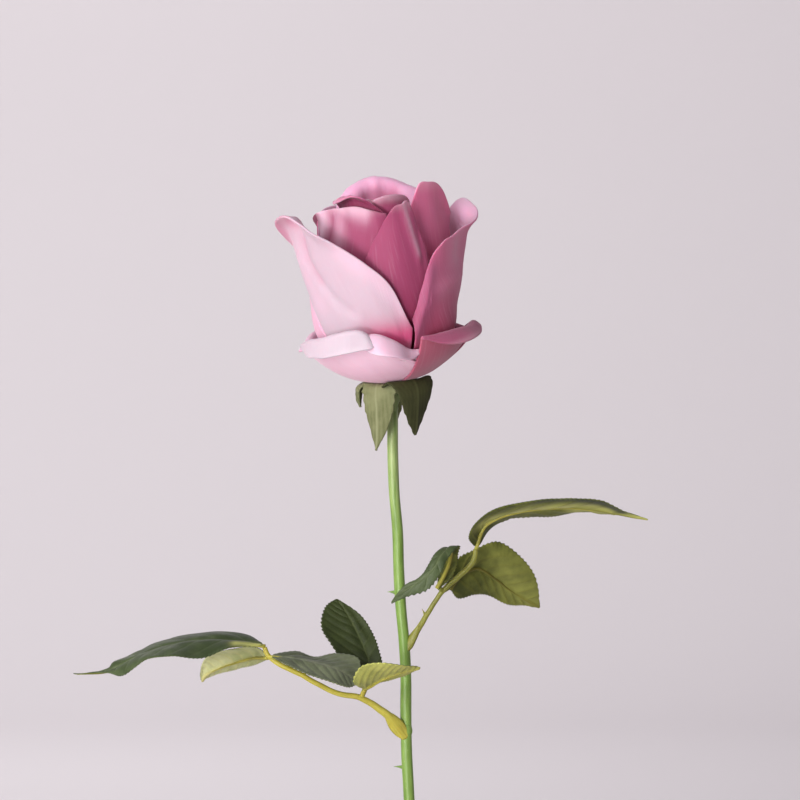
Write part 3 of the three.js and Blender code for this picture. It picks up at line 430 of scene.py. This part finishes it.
def shell(name, grid, over, under, materials, uv, tones, flip=False):
    """A closed sheet round a grid of points. over and under are its half-thicknesses; at the grid's border
    both faces share their points. A tone may be two, for the upper and the lower face."""
    rows, columns = grid.shape[:2]
    normal = normals_of(grid) * (-1 if flip else 1)
    border = np.zeros((rows, columns), bool)
    border[[0, -1], :] = border[:, [0, -1]] = True
    top = grid + normal * over[..., None]
    bottom = grid - normal * under[..., None]
    top[border] = grid[border]
    front = np.arange(rows * columns).reshape(rows, columns)
    back = front.copy()
    inside = ~border
    back[inside] = rows * columns + np.arange(inside.sum())
    vertices = np.concatenate([top.reshape(-1, 3), bottom[inside]])

    def double(field):
        above, below = field if isinstance(field, tuple) else (field, field)
        return np.concatenate([above.reshape(rows * columns, -1), below[inside].reshape(inside.sum(), -1)])

    def quads(index, turn):
        corners = [index[:-1, :-1], index[1:, :-1], index[1:, 1:], index[:-1, 1:]]
        faces = np.stack(corners[::-1] if turn else corners, -1).reshape(-1, 4).tolist()
        # The grid's corner quads are split from their one inner point, so the two faces share no triangle.
        for place, inner in ((len(faces) - 1, 0), (len(faces) - columns + 1, 3), (columns - 2, 1), (0, 2)):
            inner = 3 - inner if turn else inner
            quad = faces[place][inner:] + faces[place][:inner]
            faces[place:place + 1] = [quad[:3], [quad[0], quad[2], quad[3]]]
        return faces

    faces = quads(front, flip) + quads(back, not flip)
    half = len(faces) // 2
    slots = [0] * half + [min(1, len(materials) - 1)] * half
    fields = {key: double(value)[:, 0] for key, value in tones.items()}
    return new_object(name, vertices, faces, materials, double(uv), fields, slots)


def rim_round(distance, radius):
    """Share of the full thickness at that distance from the rim."""
    return np.sqrt(1 - (1 - np.clip(distance / radius, 0, 1)) ** 2)


def path_points(path, steps):
    """Points evenly spaced by length on a smooth path."""
    dense = curve(path, np.linspace(0, 1, steps * 8 + 1))
    return walk(dense, np.linspace(0, arc(dense)[-1], steps + 1))


def turns(sides):
    return np.linspace(0, 2 * math.pi, sides, endpoint=False)


def bands(count, sides):
    """The faces of that many bands between rings of points."""
    ring = np.arange(count * sides).reshape(count, sides)
    following = np.roll(ring, -1, 1)
    return np.stack([ring, following, following + sides, ring + sides], -1).reshape(-1, 4).tolist()


def spun(profile, sides):
    """Rings of points for a profile of (radius, height) turned about Z, and their faces."""
    radius, height = np.array(profile, float).T[:, :, None]
    rings = [radius * np.cos(turns(sides)), radius * np.sin(turns(sides)), np.repeat(height, sides, 1)]
    return np.stack(rings, -1).reshape(-1, 3), bands(len(profile) - 1, sides)


def tube(path, radii, sides, steps, swell=None):
    """Vertices and faces of a round bar along a path, closed at both ends, with its uv in mm."""
    points = path_points(path, steps)
    tangent = unit(np.gradient(points, axis=0))
    normal = unit(np.cross(tangent[0], [0.3, 1, 0.1]))
    rings, share = [], np.linspace(0, 1, steps + 1)
    radius = curve(radii, share)
    turn = turns(sides)[:, None]
    for i in range(steps + 1):
        normal = unit(normal - tangent[i] * normal.dot(tangent[i]))
        side = np.cross(tangent[i], normal)
        grow = radius[i] * (1 + (swell(share[i], turn) if swell else 0))
        rings.append(points[i] + grow * (np.cos(turn) * normal + np.sin(turn) * side))
    uv = pairs(turn.T / (2 * math.pi), (share * arc(points)[-1])[:, None])
    ends = [list(range(sides))[::-1], list(range(steps * sides, (steps + 1) * sides))]
    return np.concatenate(rings), bands(steps, sides) + ends, uv.reshape(-1, 2)


def lathe(profile, sides):
    """Vertices and faces of a closed turned body; the profile starts and ends on the axis, lowest first."""
    rings, faces = spun(profile[1:-1], sides)
    low, high = len(rings), len(rings) + 1
    last = len(rings) - sides
    for k in range(sides):
        faces.append([low, (k + 1) % sides, k])
        faces.append([high, last + k, last + (k + 1) % sides])
    ends = [[0, 0, profile[0][1]], [0, 0, profile[-1][1]]]
    return np.concatenate([rings, ends]), faces, None


def merged(parts):
    """Several sets of vertices, faces and uv as one."""
    vertices, faces, uvs, start = [], [], [], 0
    for part_vertices, part_faces, uv in parts:
        vertices.append(part_vertices)
        faces += [[start + k for k in face] for face in part_faces]
        uvs.append(np.zeros((len(part_vertices), 2)) if uv is None else uv)
        start += len(part_vertices)
    return np.concatenate(vertices), faces, np.concatenate(uvs)


def rounded(profile, per=8):
    """A smooth line through unevenly spaced points (centripetal), for turned outlines."""
    p = np.asarray(profile, float)
    p = np.concatenate([[2 * p[0] - p[1]], p, [2 * p[-1] - p[-2]]])
    line = []

    def between(t, a, b, ta, tb):
        return (tb - t) / (tb - ta) * a + (t - ta) / (tb - ta) * b

    for p0, p1, p2, p3 in zip(p, p[1:], p[2:], p[3:]):
        t0, t1 = 0, np.linalg.norm(p1 - p0) ** 0.5
        t2 = t1 + np.linalg.norm(p2 - p1) ** 0.5
        t3 = t2 + np.linalg.norm(p3 - p2) ** 0.5
        for t in np.linspace(t1, t2, per, endpoint=False):
            middle = between(t, p1, p2, t1, t2)
            low = between(t, between(t, p0, p1, t0, t1), middle, t0, t2)
            high = between(t, middle, between(t, p2, p3, t2, t3), t1, t3)
            line.append(between(t, low, high, t1, t2))
    return line + [p[-2]]


# ---- Materials ----
class Nodes:
    """Short hand for building a material's nodes."""

    def __init__(self, name):
        self.material = bpy.data.materials.new(name)
        self.material.use_nodes = True
        self.tree = self.material.node_tree
        self.shader = self.tree.nodes["Principled BSDF"]

    def add(self, kind, inputs=None, **settings):
        node = self.tree.nodes.new(kind)
        for key, value in settings.items():
            setattr(node, key, value)
        for key, value in (inputs or {}).items():
            self.put(node.inputs[key], value)
        return node

    def put(self, socket, value):
        if isinstance(value, bpy.types.NodeSocket):
            self.tree.links.new(value, socket)
        elif socket.type == "RGBA":
            socket.default_value = (*value, 1)
        else:
            socket.default_value = value

    def math(self, operation, a, b):
        return self.add("ShaderNodeMath", {0: a, 1: b}, operation=operation).outputs[0]

    def sum(self, *terms):
        """The sum of values, each times its weight."""
        total = None
        for value, weight in terms:
            part = value if weight == 1 else self.math("MULTIPLY", value, weight)
            total = part if total is None else self.math("ADD", total, part)
        return total

    def mix(self, factor, a, b, strength=1):
        """The colour b over a, as far as the factor times the strength."""
        if strength != 1:
            factor = self.math("MULTIPLY", factor, strength)
        node = self.add("ShaderNodeMix", data_type="RGBA")
        for index, value in ((0, factor), (6, a), (7, b)):
            self.put(node.inputs[index], value)
        return node.outputs[2]

    def ramp(self, value, low, high):
        """The value from low to high as 0 to 1."""
        node = self.add("ShaderNodeMapRange", {0: value, 1: low, 2: high}, interpolation_type="SMOOTHSTEP")
        return node.outputs[0]

    def attribute(self, name):
        return self.add("ShaderNodeAttribute", attribute_name=name).outputs["Fac"]

    def place(self, scale, uv=False):
        """Object coordinates in metres, or uv, scaled by one number or by three."""
        source = self.add("ShaderNodeTexCoord").outputs["UV" if uv else "Object"]
        scale = scale if isinstance(scale, tuple) else (scale,) * 3
        return self.add("ShaderNodeMapping", {"Vector": source, "Scale": scale}).outputs[0]

    def noise(self, scale, detail, roughness=0.55, uv=False, times=1.0):
        inputs = {"Vector": self.place(scale, uv), "Scale": times, "Detail": detail, "Roughness": roughness}
        return self.add("ShaderNodeTexNoise", inputs).outputs["Fac"]

    def bump(self, height, strength, distance):
        node = self.add("ShaderNodeBump", {"Height": height, "Strength": strength, "Distance": distance})
        self.put(self.shader.inputs["Normal"], node.outputs[0])

    def finish(self, **inputs):
        for key, value in inputs.items():
            self.put(self.shader.inputs[key.replace("_", " ")], value)
        return self.material


def petal_material(name, rim, foot):
    """Soft matte skin, deeper towards the foot and palest along the rim, with fine veins along it."""
    n = Nodes(name)
    rise = n.attribute("rise")
    streak = n.noise((1.1, 0.05, 1), 4.0, 0.6, uv=True)
    grain = n.noise(900, 2.0)
    cloud = n.noise(45, 2.0)
    height = n.sum((rise, 1), (n.math("SUBTRACT", streak, 0.5), 0.35), (n.math("SUBTRACT", cloud, 0.5), 0.25))
    colour = n.mix(n.ramp(height, 0.05, 0.85), foot, rim)
    lighter = tuple(1 - (1 - c) * 0.72 for c in rim)
    colour = n.mix(n.ramp(streak, 0.52, 0.75), colour, lighter, 0.16)
    colour = n.mix(n.ramp(rise, 0.93, 1.0), colour, lighter, 0.4)
    # Painted light and shade from the lines: towards the palest pink, and towards the deepest and duskiest.
    for key, goal in (("pale", PALEST), ("shade_flush", SHADE_DEEPEST), ("shade", DUSKIEST)):
        colour = n.mix(n.attribute(key), colour, goal)
    n.bump(n.sum((streak, 0.7), (grain, 0.3)), 0.25, 0.0004)
    n.shader.inputs["Subsurface Radius"].default_value = (1.0, 0.3, 0.4)
    return n.finish(Base_Color=colour, Roughness=0.62, Sheen_Weight=0.2, Sheen_Roughness=0.5,
                    Sheen_Tint=(1.0, 0.88, 0.94), Subsurface_Weight=0.25, Subsurface_Scale=0.003,
                    Specular_IOR_Level=0.25)


def leaf_material(name, dark, light, vein_colour, roughness, sheen):
    """A leaf's face: mottled between two greens, with its veins, a faint weave and a few scuffs."""
    n = Nodes(name)
    mottle = n.noise(1000, 4.0, 0.6, times=0.16)
    weave = n.noise((3.2, 3.2, 1), 2.0, 0.5, uv=True)
    vein = n.attribute("vein")
    colour = n.mix(n.ramp(n.sum((mottle, 0.7), (n.attribute("rise"), 0.3)), 0.3, 0.7), dark, light)
    # Towards the palest: painted light on the upper tip and right leaflets, the fold's paler yellow on the
    # lower tip.
    colour = n.mix(n.attribute("pale"), colour, LEAF_PALEST, n.sum((0.65, 1), (mottle, 0.5)))
    colour = n.mix(n.attribute("shade"), colour, LEAF_DUSKIEST)
    colour = n.mix(vein, colour, vein_colour, 0.8)
    colour = n.mix(n.ramp(weave, 0.5, 0.8), colour, light, 0.18)
    n.bump(n.sum((weave, 1), (mottle, 0.6)), 0.3, 0.0004)
    return n.finish(Base_Color=colour, Roughness=roughness, Sheen_Weight=sheen, Sheen_Roughness=0.4,
                    Specular_IOR_Level=0.3)


def stalk_material(name, dark, light, roughness):
    """Smooth green bark with long faint streaks and small pale specks."""
    n = Nodes(name)
    streak = n.noise((9, 0.05, 1), 4.0, 0.6, uv=True)
    patch = n.noise((120, 120, 60), 3.0)
    speck = n.noise((1500, 1500, 900), 1.0)
    colour = n.mix(n.ramp(n.sum((streak, 0.6), (patch, 0.4)), 0.35, 0.66), dark, light)
    colour = n.mix(n.ramp(speck, 0.66, 0.8), colour, BARK_SPECK, 0.3)
    colour = n.mix(n.attribute("pale"), colour, BARK_PALEST, n.ramp(streak, 0.2, 0.6))
    n.bump(n.sum((streak, 1), (speck, 0.5)), 0.2, 0.0003)
    return n.finish(Base_Color=colour, Roughness=roughness, Specular_IOR_Level=0.45, Subsurface_Weight=0.05,
                    Subsurface_Scale=0.001)


def vase_material():
    """Plain warm white glaze with a soft mottle, small specks and fine throwing lines."""
    n = Nodes("vase_glaze")
    cloud = n.noise((14, 14, 30), 4.0)
    speck = n.noise(420, 1.0)
    waves = {"Vector": n.place(1), "Scale": 130.0, "Distortion": 1.5, "Detail": 2.0, "Detail Scale": 1.5}
    rings = n.add("ShaderNodeTexWave", waves, bands_direction="Z").outputs["Fac"]
    colour = n.mix(n.ramp(cloud, 0.35, 0.65), (0.60, 0.55, 0.47), (0.72, 0.67, 0.59))
    colour = n.mix(n.ramp(speck, 0.7, 0.78), colour, (0.36, 0.28, 0.2), 0.35)
    n.bump(n.sum((rings, 0.5), (cloud, 0.5)), 0.12, 0.0006)
    return n.finish(Base_Color=colour, Roughness=0.32, Coat_Weight=0.35, Coat_Roughness=0.12)


def water_material():
    n = Nodes("water")
    n.bump(n.noise(60, 2.0), 0.1, 0.0005)
    return n.finish(Base_Color=(0.85, 0.93, 0.95), Roughness=0.03, IOR=1.33, Transmission_Weight=0.9)


# ---- Bloom ----
def petal_surface(petal):
    """The petal's middle surface in the bloom's frame, and each point's share of the petal's length."""
    across = np.concatenate([[0, 0.003, 0.008], np.linspace(0.016, 0.984, 44), [0.992, 0.997, 1]])
    crease = curve(petal["reach"], across) - petal["lip"]
    length = crease + petal["lip"] * curve(petal.get("flap", [1, 1]), across)
    body = np.linspace(0, 1, 34, endpoint=False)
    lip = np.concatenate([np.linspace(0, 0.94, 18), [0.965, 0.985, 0.995, 1]])
    s = np.concatenate([crease[:, None] * body, crease[:, None] + (length - crease)[:, None] * lip], 1)
    fine = 5
    steps = s.shape[1] - 1
    at = np.arange(steps * fine + 1) / fine
    low = np.minimum(at.astype(int), steps - 1)
    stops = s[:, low] + (s[:, low + 1] - s[:, low]) * (at - low)
    u = 2 * across - 1
    lean = np.radians(curve(petal.get("lean", [0, 0]), across))[:, None]
    roll = np.radians(curve(petal["roll"], across))[:, None]
    middle = (stops[:, 1:] + stops[:, :-1]) / 2
    bend = petal["lip"] * petal.get("fold", 1)
    slope = (np.radians(curve(petal["course"], middle / COURSE_LENGTH)) + lean * ease((middle - 18) / 30)
             + roll * ease((middle - crease[:, None]) / bend))
    ds = np.diff(stops, axis=1)
    start = np.zeros((len(across), 1))
    r, z = (foot + np.concatenate([start, np.cumsum(way(slope) * ds, 1)], 1)[:, ::fine]
            for foot, way in zip(petal["foot"], (np.sin, np.cos)))
    r = r + ease(s / 12) * petal["tuck"] * u[:, None]
    theta = np.radians(petal["azimuth"] + petal["spread"] * u)[:, None]
    grid = np.stack([r * np.sin(theta), -r * np.cos(theta), z], -1)
    return grid, s / length[:, None].max()


def bloom_matrix():
    lean, left = math.radians(BLOOM_TIP_FORWARD), math.radians(BLOOM_TIP_LEFT)
    up = Vector((-math.sin(left), -math.sin(lean), math.cos(lean))).normalized()
    right = Vector((1, 0, 0))
    right = (right - up * right.dot(up)).normalized()
    back = up.cross(right)
    matrix = Matrix((right, back, up)).transposed().to_4x4()
    matrix.translation = BLOOM_BASE
    return np.array(matrix)


BLOOM_MATRIX = bloom_matrix()


def on_bloom(points):
    return points @ BLOOM_MATRIX[:3, :3].T + BLOOM_MATRIX[:3, 3]


def near_line(a, s, line, width, breadth):
    """1 on a line of (across, mm along) points, falling to 0 in about the width to either side."""
    points = np.array(line, float) * (breadth, 1)
    here = pairs(a * breadth, s)
    best = np.full(here.shape[:2], 1e9)
    for start, end in zip(points, points[1:]):
        t = np.clip((here - start) @ (end - start) / ((end - start) @ (end - start)), 0, 1)[..., None]
        best = np.minimum(best, np.linalg.norm(here - start - t * (end - start), axis=2))
    return np.exp(-((best / width) ** 2))


def make_petal(key, petal, lines, skins, seed):
    grid, rise = petal_surface(petal)
    across, along = arc(grid, 0), arc(grid, 1)
    share = np.linspace(0, 1, len(grid))[:, None] + 0 * along
    below_rim = along[:, -1:] - along

    def drawn(kind):
        for line, width, amount in lines.get(kind, []):
            yield amount * near_line(share, along, line, width, PETAL_BREADTH)

    wave = PETAL_WAVE * ripple(across / 9, along / 9, seed) * ease(along / 20)
    flute = lines.get("flute", PETAL_FLUTE) * ease(1 - below_rim / RIM_DEPTH)
    wave = wave + flute * ripple(across / 2.6, along / 30, 70 + seed)
    for height in drawn("folds"):
        wave = wave + height
    tones = {"rise": rise}
    # The lines' tones: painted light towards the palest pink, painted shade towards the deepest and duskiest.
    for tone in ("pale", "shade_flush", "shade"):
        tones[tone] = 0 * rise
        for strength in drawn(tone):
            tones[tone] = np.maximum(tones[tone], strength)
    grid = on_bloom(grid + normals_of(grid) * wave[..., None])
    edge = np.minimum(np.minimum(across, across[-1] - across), below_rim)
    half = PETAL_THICKNESS / 2 * rim_round(edge, PETAL_RIM)
    uv = pairs(across + PETAL_BREADTH * seed, along)
    adopt(shell("petal_" + key, grid, half, half, skins[petal["skin"]], uv, tones), "petal", "bloom")


def make_bloom():
    skins = {key: [petal_material(f"petal_{key}_{side}", *tones)
                   for side, tones in (("outside", colours[:2]), ("inside", colours[2:]))]
             for key, colours in SKINS.items()}
    for seed, (key, petal) in enumerate(PETALS.items()):
        make_petal(key, petal, PETAL_LINES.get(key, {}), skins, seed)
    vertices, faces, _ = lathe(rounded(RECEPTACLE, 4), 48)
    adopt(new_object("receptacle", on_bloom(vertices), faces, skins["deep"][:1]), "petal", "bloom")


# ---- Calyx ----
def toothed_rows(teeth):
    """Places of a leaf's rows from 0 to 1, five to a tooth that leans forward, and its height at each."""
    phases = np.array([0, 0.24, 0.48, 0.72, 0.86])
    tooth = np.where(phases < 0.72, -1 + 2 * phases / 0.72, 1 - 2 * (phases - 0.72) / 0.28)
    rows = np.append(((np.arange(teeth)[:, None] + phases) / teeth).ravel(), 1)
    tooth = np.append(np.tile(tooth, teeth), -1)
    return rows, (tooth + 1) / 2 * np.minimum(rows / 0.06, (1 - rows) / 0.04).clip(0, 1)


def make_sepal(number, sepal, material):
    rows, tooth = toothed_rows(SEPAL_TEETH)
    u = np.concatenate([[-1, -0.985, -0.94], np.linspace(-0.88, 0.88, 19), [0.94, 0.985, 1]])
    radii, heights = np.array([SEPAL_FOOT, *sepal["path"]]).T
    angle = math.radians(sepal["azimuth"])
    out = np.array([math.sin(angle), -math.cos(angle), 0])
    side = np.array([math.cos(angle), math.sin(angle), 0])
    rows = rows[:, None]
    half = sepal["width"] * curve(SEPAL_OUTLINE, rows)
    tooth = tooth[:, None] * (0.6 + 0.6 * ripple(rows * 9, 0, 20 + number))
    lateral = half * u + (0.75 * tooth - 0.3) * np.sign(u) * np.abs(u) ** 6 * ease(rows / 0.2)
    bend = SEPAL_CUP * u**2 * half / sepal["width"] * ease(rows / 0.4)
    grid = ((curve(radii, rows) - bend)[..., None] * out + lateral[..., None] * side
            + curve(heights, rows)[..., None] * np.array([0, 0, 1]))
    rib = np.exp(-((half * u) / 0.5) ** 2)
    lines = 0.5 + 0.5 * np.cos(lateral * 4.2)
    grid = on_bloom(grid + normals_of(grid) * (0.25 * ripple(lateral / 3, rows * 8, 40 + number))[..., None])
    edge = (1 - np.abs(u)) * np.maximum(half, 0.3)
    thick = SEPAL_THICKNESS / 2 * rim_round(edge, SEPAL_RIM)
    tones = {"vein": np.maximum(rib, 0.35 * lines), "rise": 1 - rows + 0 * lateral}
    piece = shell(f"sepal_{number}", grid, thick + SEPAL_RIB * rib * (edge > 0), thick, [material],
                  pairs(lateral, rows * 26), tones)
    adopt(piece, "sepal", "calyx")


def make_calyx():
    light, dark = (leaf_material(*colours) for colours in SEPAL_SKINS)
    for number, sepal in enumerate(SEPALS, 1):
        # The sepals marked dark take the darker felt, which is painted shade.
        make_sepal(number, sepal, dark if sepal.get("dark") else light)
    vertices, faces, _ = lathe(rounded(CALYX_PLATE, 4), 40)
    adopt(new_object("calyx_plate", on_bloom(vertices), faces, [light]), "sepal", "calyx")


# ---- Leaves ----
def make_leaflet(name, leaf, faces_of, rib_skin, seed):
    rib, left, right = (np.array(leaf[key], float) for key in ("rib", "left", "right"))
    length = arc(curve(rib, np.linspace(0, 1, 200)))[-1]
    rows, tooth = toothed_rows(int(length / TOOTH_PITCH))
    w = np.concatenate([[-1, -0.985, -0.95], np.linspace(-0.9, 0.9, 37), [0.95, 0.985, 1]])
    middle = curve(rib, rows)
    reach = [curve(line, rows) - middle for line in (left, right)]
    width = [np.linalg.norm(r, axis=1) for r in reach]
    tangent = curve(rib, rows + 0.01) - curve(rib, rows - 0.01)
    normal = unit(np.cross(reach[0] - reach[1], tangent))
    grid = np.zeros((len(rows), len(w), 3))
    for column, share in enumerate(w):
        side, size = int(share >= 0), abs(share)
        grow = 1 + (0.55 * tooth - 0.2) * ease(width[side] / 4) * size**10 / width[side]
        grid[:, column] = (middle + reach[side] * (size * grow)[:, None]
                           + normal * (LEAF_ARCH * width[side] * 4 * size * (1 - size))[:, None])
    # Along the rib, and across from it: the midrib, and the veins that leave it in turn to either side.
    along = (rows * length)[:, None]
    wide = np.where(w < 0, width[0][:, None], width[1][:, None])
    lateral = w * wide
    spread = np.abs(lateral)
    midrib = np.exp(-(lateral / 0.55) ** 2)
    pitch = length / SIDE_VEINS
    branch = (along - 0.85 * spread - 0.02 * spread**2) / pitch + np.where(lateral > 0, 0.5, 0)
    off_vein = branch - np.round(branch)
    fade = ease(spread / 0.8) * (1 - 0.8 * ease((spread / np.maximum(wide, 0.5) - 0.7) / 0.3))
    side_vein = np.exp(-(np.abs(off_vein) * pitch / 0.34) ** 2) * fade
    pucker = 0.5 - 0.5 * np.cos(2 * math.pi * off_vein)
    top = leaf["top"]
    drop = (0.3 * midrib + 0.16 * side_vein - 0.14 * pucker * fade
            - 0.35 * ripple(along / 7, lateral / 5, seed) * ease(spread / 3))
    grid = grid - normals_of(grid) * (top * drop)[..., None]
    edge = np.minimum((1 - np.abs(w)) * np.maximum(wide, 0.3), along.max() - along)
    slim = ease((width[0] + width[1]) / 4)[:, None]  # the blade thins where it is narrow
    thin = 0.35 + 0.65 * slim
    half = LEAF_THICKNESS / 2 * rim_round(edge, LEAF_RIM)
    ridge = half + RIB_STAND * midrib * (edge > 0.3) + 0.08 * side_vein
    vein = np.maximum(midrib, 0.45 * side_vein) * slim
    tones = {"vein": vein, "rise": rows[:, None] + 0 * vein}
    for key in ("pale", "shade"):
        mark, none = 0 * vein, 0 * vein
        for line, breadth, strength in leaf.get(key, []):
            mark = np.maximum(mark, strength * near_line(lateral, along, line, breadth, 1))
        tones[key] = (mark, none) if leaf.get("marked") == "over" else (none, mark)
    uv = pairs(lateral + 40 * seed, along)
    piece = shell(name + "_blade", grid, half * thin, ridge * thin, faces_of, uv, tones, flip=top < 0)
    adopt(piece, "leaf", name)
    centre = len(w) // 2
    make_midrib(name, grid[:, centre], -top * normals_of(grid)[:, centre], rib_skin, seed)


def make_midrib(name, middle, under, material, seed):
    """The stalk's yellow rib, which runs on under the blade and thins towards its tip."""
    last = int(len(middle) * 0.9)
    path = middle[:last:12] + under[:last:12] * 0.34
    path[0] -= unit(path[1] - path[0]) * 0.9
    vertices, faces, uv = tube(path, [0.72, 0.62, 0.5, 0.38, 0.26, 0.12], 10, 60)
    adopt(new_object(name + "_midrib", vertices, faces, [material], uv + seed), "leaf_stalk", name)


def make_leaves():
    skins = {name: leaf_material("leaf_" + name, *colours) for name, colours in LEAF_SKINS.items()}
    rib = stalk_material("leaf_rib_skin", (0.27, 0.25, 0.03), (0.46, 0.42, 0.06), 0.5)
    # The dull rib is darker as painted shade: it goes on the right leaflet, whose base lies in shade.
    dull = stalk_material("leaf_rib_skin_dull", (0.09, 0.085, 0.006), (0.20, 0.18, 0.02), 0.6)
    for seed, (name, leaf) in enumerate(LEAFLETS.items()):
        faces_of = [skins[leaf.get("over", "top")], skins[leaf.get("under", "olive")]]
        make_leaflet(name, leaf, faces_of, dull if leaf.get("dull_rib") else rib, seed)


# ---- Stem and leaf stalks ----
def thorn(ends, radius):
    """A thorn that narrows to a point and droops a little at its end."""
    base, tip = (np.array(end, float) for end in ends)
    path = [base, base + (tip - base) * 0.35, base + (tip - base) * 0.7 - [0, 0, 0.05], tip - [0, 0, 0.25]]
    return tube(path, [radius, 0.66 * radius, 0.3 * radius, 0.06], 10, 10)


def node_ring():
    edge = STEM_RADIUS
    profile = [(0, -2.2), (edge - 0.1, -2.2), (edge, -1.6), (edge + 0.25, -0.6), (edge + 0.28, 0.2),
               (edge, 1.4), (edge - 0.1, 2), (0, 2)]
    vertices, faces, uv = lathe(profile, 28)
    return vertices + LOWER_NODE, faces, uv


def make_stem():
    sway = np.random.RandomState(5).uniform(0, 2 * math.pi, 4)

    def swell(t, turn):
        return (0.012 * np.sin(40 * t + sway[0]) + 0.01 * np.sin(93 * t + sway[1])
                + 0.014 * np.cos(2 * turn + 9 * t + sway[2]) - 0.01)

    hip, hip_faces, _ = lathe(rounded(HIP, 4), 32)
    parts = [tube(STEM_PATH, [STEM_RADIUS, STEM_RADIUS], 24, 260, swell), (on_bloom(hip), hip_faces, None)]
    vertices, faces, uv = merged(parts + [node_ring()] + [thorn(ends, 1.1) for ends in STEM_THORNS])
    material = stalk_material("stem_bark", (0.13, 0.235, 0.035), (0.235, 0.375, 0.08), 0.42)
    tones = {"pale": 0.6 * ease((vertices[:, 2] - 250) / 40)}
    adopt(new_object("stem_bark", vertices, faces, [material], uv, tones), "stem", "stem")


def make_stipules(name, path, side, length, breadth, material):
    """The pair of narrow wings that sheathe a leaf stalk where it leaves the stem."""
    rows, u = np.linspace(0, 1, 40), np.linspace(-1, 1, 13)
    middle = walk(path_points(path, 120), rows * length)
    tangent = unit(np.gradient(middle, axis=0))
    across = unit(np.cross(tangent, side))[:, None]
    out = np.cross(across, tangent[:, None])
    rows = rows[:, None]
    half = breadth * curve([1.2, 2.4, 2.7, 2.3, 1.5, 0.25], rows)
    grid = (middle[:, None] + across * (half * u)[..., None]
            + out * (1.15 - 1.3 * u**2 * ease(rows / 0.3))[..., None])
    thick = STIPULE_THICKNESS / 2 * rim_round((1 - np.abs(u)) * half, 0.25)
    piece = shell(name + "_stipules", grid, thick, thick, [material], pairs(u * half, rows * length), {})
    adopt(piece, "leaf_stalk", name)


def make_stalks():
    for name, stalk in STALKS.items():
        material = stalk_material(*stalk["skin"], 0.45)
        parts = [tube(stalk["path"], stalk["radii"], 16, 90,
                      lambda t, turn: 0.04 * np.sin(60 * t) * np.cos(turn))]
        parts += [tube(stub, [0.8, 0.8, 0.72], 12, 8) for stub in stalk["stubs"]]
        vertices, faces, uv = merged(parts + [thorn(ends, 0.75) for ends in stalk["thorns"]])
        adopt(new_object(name + "_skin", vertices, faces, [material], uv), "leaf_stalk", name)
        make_stipules(name, stalk["path"], *stalk["wings"], material)


# ---- Vase and water ----
def make_vase():
    widest = max(r for r, _ in VASE_OUTSIDE)
    outside = [(min(r, widest), max(z, 0)) for r, z in rounded(VASE_OUTSIDE)]
    vertices, faces, _ = lathe([(0, 0), *outside, *rounded(VASE_INSIDE), (0, VASE_FLOOR)], 112)
    adopt(new_object("vase_body", vertices, faces, [vase_material()]), "vase", "vase")
    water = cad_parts["water"]
    water.data.materials.clear()
    water.data.materials.append(water_material())


# ---- Stage, light and camera ----
def make_stage():
    n = Nodes("studio_paper")
    colour = n.mix(n.noise(0.6, 2.0), (0.66, 0.625, 0.64), (0.70, 0.665, 0.68))
    paper = n.finish(Base_Color=colour, Roughness=0.9)
    bend = [(COVE_RADIUS - COVE_BEND * (1 - math.sin(a)), COVE_BEND * (1 - math.cos(a)))
            for a in np.linspace(0, math.pi / 2, 16)]
    rings, faces = spun([(0.01, 0), (700, 0), (1400, 0), *bend, (COVE_RADIUS, COVE_HEIGHT)], 128)
    new_object("studio_cove", rings, faces, [paper])


def area_light(name, place, target, size, power, colour, spread=180):
    light = bpy.data.lights.new(name, "AREA")
    light.shape = "DISK"
    light.size = size
    light.energy = power
    light.color = colour
    light.spread = math.radians(spread)
    lamp = placed(name, light)
    lamp.location = place
    lamp.rotation_euler = (Vector(target) - Vector(place)).to_track_quat("-Z", "Y").to_euler()
    lamp.visible_camera = False


def make_light():
    world = bpy.data.worlds.new("studio_air")
    world.use_nodes = True
    bpy.context.scene.world = world
    background = world.node_tree.nodes["Background"]
    background.inputs["Color"].default_value = (0.97, 0.95, 1.0, 1)
    background.inputs["Strength"].default_value = 0.45
    area_light("key", (-1.05, -1.1, 0.72), (0, 0, 0.31), 1.0, 20, (1.0, 0.98, 0.97))
    area_light("low_fill", (-0.45, -1.15, 0.1), (0, 0, 0.32), 0.4, 0.9, (1.0, 0.98, 0.98), 50)
    area_light("backdrop_wash", (-0.5, 1.2, 1.25), (-0.2, 2.65, 0.35), 0.6, 14, (1.0, 0.98, 0.99))
    bpy.context.scene.view_settings.view_transform = "Standard"


def make_camera():
    data = bpy.data.cameras.new("camera")
    data.sensor_width = SENSOR
    data.lens = SENSOR / 2 / (FRAME_PIXELS / 2 * SCALE / CAMERA_DISTANCE)
    data.clip_start = 0.05
    camera = placed("camera", data)
    camera.location = Vector((CAMERA_X, -CAMERA_DISTANCE, CAMERA_Z)) * MM
    camera.rotation_euler = (math.radians(90), 0, 0)
    bpy.context.scene.camera = camera


make_camera()
make_stage()
make_light()
make_vase()
make_stem()
make_stalks()
make_leaves()
make_calyx()
make_bloom()
